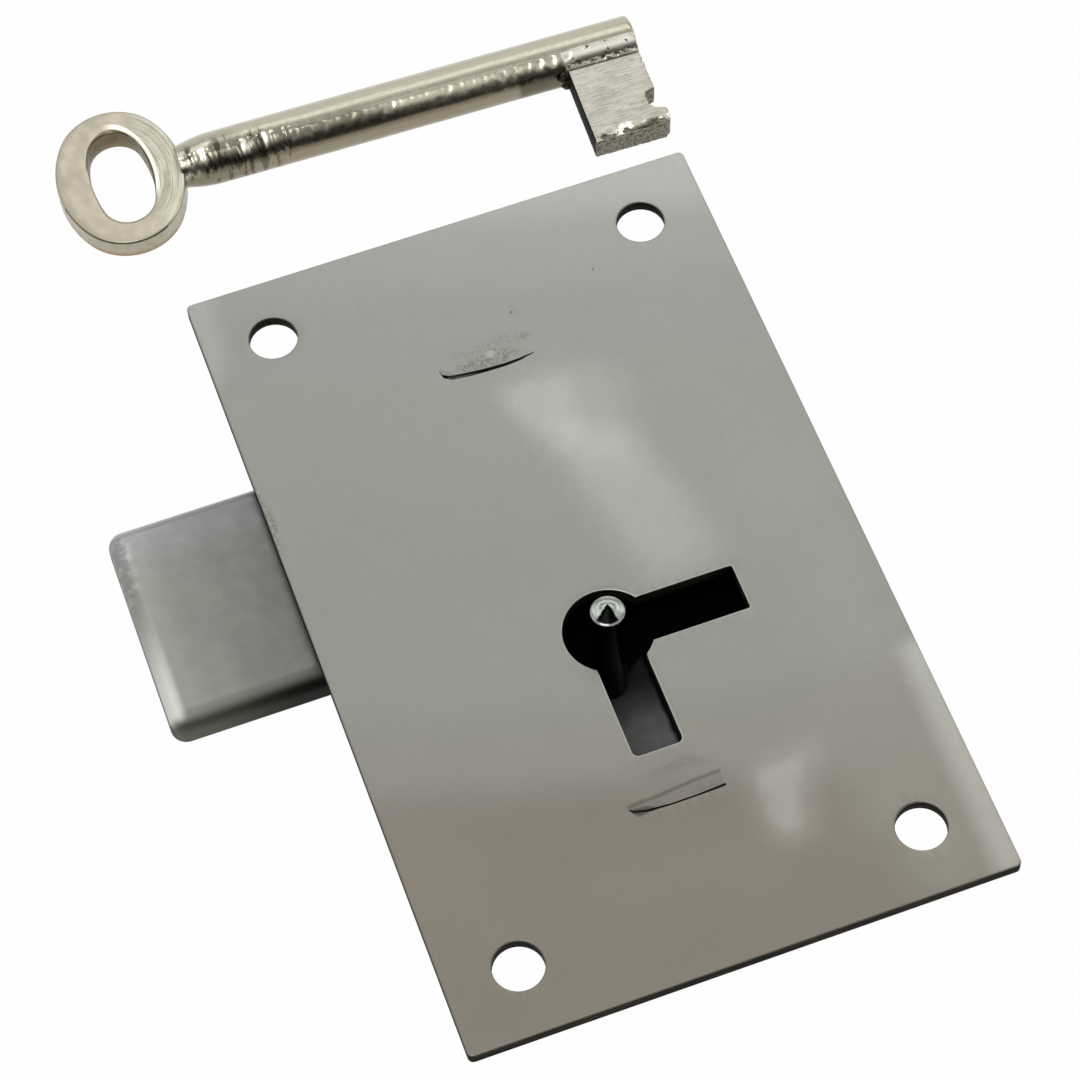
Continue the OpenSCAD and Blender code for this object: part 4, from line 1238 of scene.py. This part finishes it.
def oval(a, b, steps=72):
    """Four tangent arcs, half as wide as a along X and half as long as b along Y."""
    end_r = 0.88 * a
    end_y = b - end_r
    side_r = (a * a + end_y * end_y - end_r * end_r) / (2 * (a - end_r))
    join = math.degrees(math.atan2(end_y, side_r - a))
    n = steps // 4
    points = arc((a - side_r, 0), side_r, -join, join, n)[:-1]
    points += arc((0, end_y), end_r, join, 180 - join, n)[:-1]
    points += arc((side_r - a, 0), side_r, 180 - join, 180 + join, n)[:-1]
    return points + arc((0, -end_y), end_r, 180 + join, 360 - join, n)[:-1]


def bow_relief(x, y):
    return -0.02 - 0.02 * noise.noise(Vector((x * 0.25, y * 0.25, 1.3)))


bow_edge = [(x + BOW_X, y) for x, y in oval(BOW_HALF_LENGTH, BOW_HALF_HEIGHT, 144)]
bow_hole = [(x + BOW_X + 0.1, y) for x, y in oval(2.85, 5.2, 112)]
hole_x = BOW_X + 0.1
bevels = [0.14 + 0.34 * max(0.0, math.cos(math.atan2(y, x - hole_x) - math.radians(8))) ** 2
          for x, y in bow_hole]
bow_points, bow_faces, bow_walls = cut_sheet(bow_edge, [bow_hole], -BOW_HALF_THICK, BOW_HALF_THICK,
                                             [(0.35, 0.22), (0.12, bevels)], 0.7, bow_relief,
                                             BOW_STEPS)


def bow_metal(k):
    """0 for the ground faces and the bevels, 1 for the outer wall, 2 for the hole's wall, which is
    painted darker as shade, and for a painted shade line on the outer wall.
    """
    in_hole = k - len(bow_edge) * (2 * BOW_STEPS + 1)
    if k >= bow_walls or in_hole >= (BOW_STEPS + 1) * len(bow_hole):
        return 0
    if in_hole >= 0:
        return 2
    ring, step = divmod(k, len(bow_edge))
    # A painted shade line along part of the outer wall, just under the face's edge.
    shaded = 0.66 * len(bow_edge) < step < 0.94 * len(bow_edge) and ring in (6, 7, 8)
    return 2 if shaded else int(ring < 8)


make_piece("filed_bow", bow_points, bow_faces, [bow_finish, bow_wall_finish, bow_hole_shade_finish],
           "loose_key", ["key_bow"], "key_nickel", key_place, pick=bow_metal, angle=50)

# %% [markdown]
# ## The key's shank
# The shank is a pipe, bored to fit over the drill pin. It is round, but its surface isn't
# true: there are nicks across it near the bow, a row of dents along its side, and a faint
# crease along its top. The points of a tube are pushed in by sums of noise, which changes
# the real outline and catches light better than a bump alone.

# %% Where the shank is dented
def window(value, low, high, soft):
    """1 between low and high, and softly 0 outside."""
    rise = min(1.0, max(0.0, (value - low) / soft + 0.5))
    fall = min(1.0, max(0.0, (high - value) / soft + 0.5))
    return rise * rise * (3 - 2 * rise) * fall * fall * (3 - 2 * fall)


def nicks(x, angle):
    """Depth in mm of the dents. The angle is 0 on top and 90 at the bit's side."""
    depth = 0.015 * (1 + noise.noise(Vector((x * 0.25, angle / 40, 2.0))))
    near_bow = window(x, -44.5, -33.5, 3.0) * window(angle, 12, 92, 22)
    depth += near_bow * 0.32 * max(0.0, noise.noise(Vector((x * 2.3, angle / 95, 8.0))) + 0.12)
    row = window(x, -36, -6.5, 3) * window(angle, 26, 56, 12)
    depth += row * 0.09 * max(0.0, noise.noise(Vector((x * 1.8, angle / 26, 4.0))) + 0.06)
    near_bit = window(x, -14.0, -6.8, 2.5) * window(angle, 24, 84, 16)
    depth += near_bit * 0.15 * max(0.0, noise.noise(Vector((x * 1.7, angle / 40, 6.0))) + 0.1)
    grooves = math.exp(-((angle - 17) / 3.0) ** 2) + 0.5 * math.exp(-((angle + 22) / 3.0) ** 2)
    return depth + 0.03 * grooves


deepest = max(nicks(x, angle) for x in range(-44, 0) for angle in range(0, 90, 10))
print("deepest dent found:", round(deepest, 2), "mm")

# %% [markdown]
# The tube is a row of rings from the bow to the tip, narrower at the neck and rounded at
# the mouth. The last rings turn back into the bore.

# %% Hammer the shank
SHANK_R, NECK_R, NECK_X, BOW_END_X = 2.5, 2.0, -41.15, -44.75
BORE_R, BORE_END, MOUTH_ROUND, AROUND, STEP = 1.65, -17.0, 0.35, 144, 0.16
stations = [*np.arange(BOW_END_X, NECK_X, STEP), *np.arange(NECK_X, -MOUTH_ROUND, STEP),
            -0.3, -0.12, 0.0]
tube_points = []
for x in stations:
    radius = SHANK_R
    if x < NECK_X:
        radius = NECK_R + 0.5 * math.sin(math.pi / 2 * (x - BOW_END_X) / (NECK_X - BOW_END_X))
    if x > -MOUTH_ROUND:
        inwards = ((x + MOUTH_ROUND) / MOUTH_ROUND) ** 2
        radius -= MOUTH_ROUND * (1 - math.sqrt(max(0.0, 1 - inwards)))
    for k in range(AROUND):
        degrees = 360 * k / AROUND - 180
        turn = math.radians(degrees)
        r = radius - nicks(x, degrees)
        tube_points.append((x, -r * math.sin(turn), r * math.cos(turn)))
bore = [(BORE_R + 0.12, 0.0), (BORE_R, -0.12), (BORE_R, BORE_END), (0.02, BORE_END - 0.6)]
for r, x in bore:
    turns = [2 * math.pi * k / AROUND - math.pi for k in range(AROUND)]
    tube_points += [(x, -r * math.sin(turn), r * math.cos(turn)) for turn in turns]
tube_faces = bands(len(stations) + len(bore), AROUND) + [tuple(range(AROUND - 1, -1, -1))]
make_piece("hammered_shank", tube_points, tube_faces, [shank_finish], "loose_key", ["key_shank"],
           "key_nickel", key_place, angle=60)

# %% [markdown]
# ## The key's bit
# The bit is a flat flag soldered under the shank. Its faces were drawn along a file, its
# outer edge was left rough from the casting, and a notch at its tip clears the ward. The
# outline gets a little noise, and the points of the upper face near the outer edge are
# pushed down to make the torn bevel.

# %% The bit's torn outline
BIT_LEFT, BIT_LOW, BIT_TOP, BIT_HALF_THICK, TOE = -7.2, -10.7, -1.4, 1.3, 0.4
DROOP = math.radians(4)
bit_place = key_place @ Matrix.Rotation(DROOP, 4, "X")


def bit_outline():
    points = [(0, BIT_TOP), (0, -6.25), (-0.05, -6.55), (-0.75, -6.75), (-1.1, -7.2),
              (-1.1, -8.1), (-0.7, -8.6), (-0.2, -8.75)]
    points += [(TOE - 0.1, -8.9), (TOE, -9.1), (TOE, -9.9), (TOE - 0.15, -10.4)]
    points += [(TOE - 0.6, BIT_LOW), (BIT_LEFT + 0.12, BIT_LOW), (BIT_LEFT, BIT_LOW + 0.12),
               (BIT_LEFT, BIT_TOP)]
    rough = []
    for x, y in even_steps(points, 0.2):
        torn = 1.0 if x > -1.4 and y > -10.3 else 0.35
        push = 0.34 * torn * abs(noise.noise(Vector((x * 2.9, y * 2.9, 0.5))))
        rough.append((x - push if x > -4 else x + 0.3 * push, y + push if y < -10 else y))
    return rough


def bit_relief(x, y):
    """Slight unevenness, and the broken bevel along the outer edge."""
    flat = -0.02 - 0.02 * noise.noise(Vector((x * 0.5, y * 2.0, 9.0)))
    ragged = 0.9 * noise.noise(Vector((x * 0.7, y * 0.9, 4.4)))
    ragged += 0.2 * noise.noise(Vector((x * 2.5, y * 2.5, 1.4)))
    edge = max(0.0, (-10.1 + ragged - y))
    return flat - 0.65 * min(edge, 0.8)


print("bit outline:", len(bit_outline()), "points")

# %% [markdown]
# The outline becomes a sheet like the others, with a finish for each kind of face. It
# hangs from the shank with a slight droop, which lets its corner touch the table.

# %% File the bit
bit_points, bit_faces, bit_walls = cut_sheet(bit_outline(), [], -BIT_HALF_THICK, BIT_HALF_THICK,
                                             [(0.2, 0.08)], 0.2, bit_relief, 3)


def bit_metal(k):
    """0 for the brushed faces, 1 for the wall towards the bow, painted dark as shade, 2 for the
    torn edge.
    """
    corners = [bit_points[v] for v in bit_faces[k]]
    if k < bit_walls:
        if max(x for x, _, _ in corners) < BIT_LEFT + 0.12:
            return 1
        return 2 if max(z for _, _, z in corners) < 1.28 else 0
    return 2 if min(z for _, _, z in corners) < 1.16 and corners[0][2] > 0 else 0


make_piece("filed_bit", bit_points, bit_faces, [bit_finish, bit_wall_shade_finish, torn_finish],
           "loose_key", ["key_bit"], "key_nickel", bit_place, pick=bit_metal, angle=60)

# %% [markdown]
# ## The solder
# Solder ran along the joint of shank and bit. There it froze as a hollow curve from one to the
# other, pitted where it boiled, and in the corner towards the bow it left one lump, which is
# painted dark as shade. Both are rings of points joined into a solid. Metaballs would flow together
# by themselves, but they lose the thin edge of the curve.

# %% Join rings into a solid
def loft(rings):
    """Joins closed rings of equally many points into a solid with flat ends."""
    count = len(rings[0])
    vertices = [point for ring in rings for point in ring]
    ends = [tuple(range(count - 1, -1, -1)), tuple(range(len(vertices) - count, len(vertices)))]
    return vertices, bands(len(rings), count) + ends


def bead(path, radii, seed, around=14):
    """A lumpy bar through the points of path."""
    path = [Vector(p) for p in path]
    rings = []
    for i, centre in enumerate(path):
        ahead = (path[min(i + 1, len(path) - 1)] - path[max(i - 1, 0)]).normalized()
        side = ahead.cross(Vector((0, 1, 0))).normalized()
        top = side.cross(ahead)
        ring = []
        for k in range(around):
            a = 2 * math.pi * k / around
            out = side * math.cos(a) + top * math.sin(a)
            lump = 1 + 0.5 * noise.noise(centre * 1.6 + out * 0.6 + Vector((seed, 0, 0)))
            ring.append(centre + out * radii[i] * lump)
        rings.append(ring)
    return loft(rings)


def joint_ring(x):
    """Section of the solder: a hollow curve from shank to bit, closed inside the metal."""
    start, bend, end = Vector((-0.98, 2.28)), Vector((-1.62, 1.82)), Vector((-2.36, 1.20))
    top = []
    for k in range(15):
        t = k / 14
        y, z = (1 - t) ** 2 * start + 2 * t * (1 - t) * bend + t * t * end
        middle = 4 * t * (1 - t)
        lumps = 0.05 * noise.noise(Vector((x * 1.5, y * 1.5, 2.0)))
        pits = 0.22 * max(0.0, noise.noise(Vector((x * 2.2, y * 2.6, 9.0))) - 0.05)
        top.append((x, y, z + middle * lumps - pits * window(t, 0.5, 0.9, 0.2)))
    return top + [(x, -2.26, 0.95), (x, -1.8, 1.1), (x, -0.95, 1.9)]


print("a ring of the joint has", len(joint_ring(0)), "points")

# %% [markdown]
# The curve runs along the whole bit, in 76 rings. The lump stands in the corner, thick in
# its middle and thin at both ends.

# %% Run the solder
JOINT_FROM, JOINT_TO, LUMP_STEPS = -7.28, -0.12, 30
strip = loft([joint_ring(x) for x in np.linspace(JOINT_FROM, JOINT_TO, 76)])
corner_path = [(-7.40 + 0.2 * math.sin(k * 0.5), -2.1, 0.9 - 2.4 * k / LUMP_STEPS)
               for k in range(LUMP_STEPS + 1)]
corner_radii = [0.25 + 0.3 * math.sin(math.pi * k / LUMP_STEPS) ** 0.5
                for k in range(LUMP_STEPS + 1)]
lump = bead(corner_path, corner_radii, 8.0)
for name, solid, finish in (("soldered_joint", strip, solder_finish),
                            ("solder_in_corner", lump, lump_shade_finish)):
    make_piece(name, *solid, [finish], "loose_key", slot="key_nickel", place=key_place, angle=80)

# %% Bring the scene up to date
bpy.context.view_layer.update()
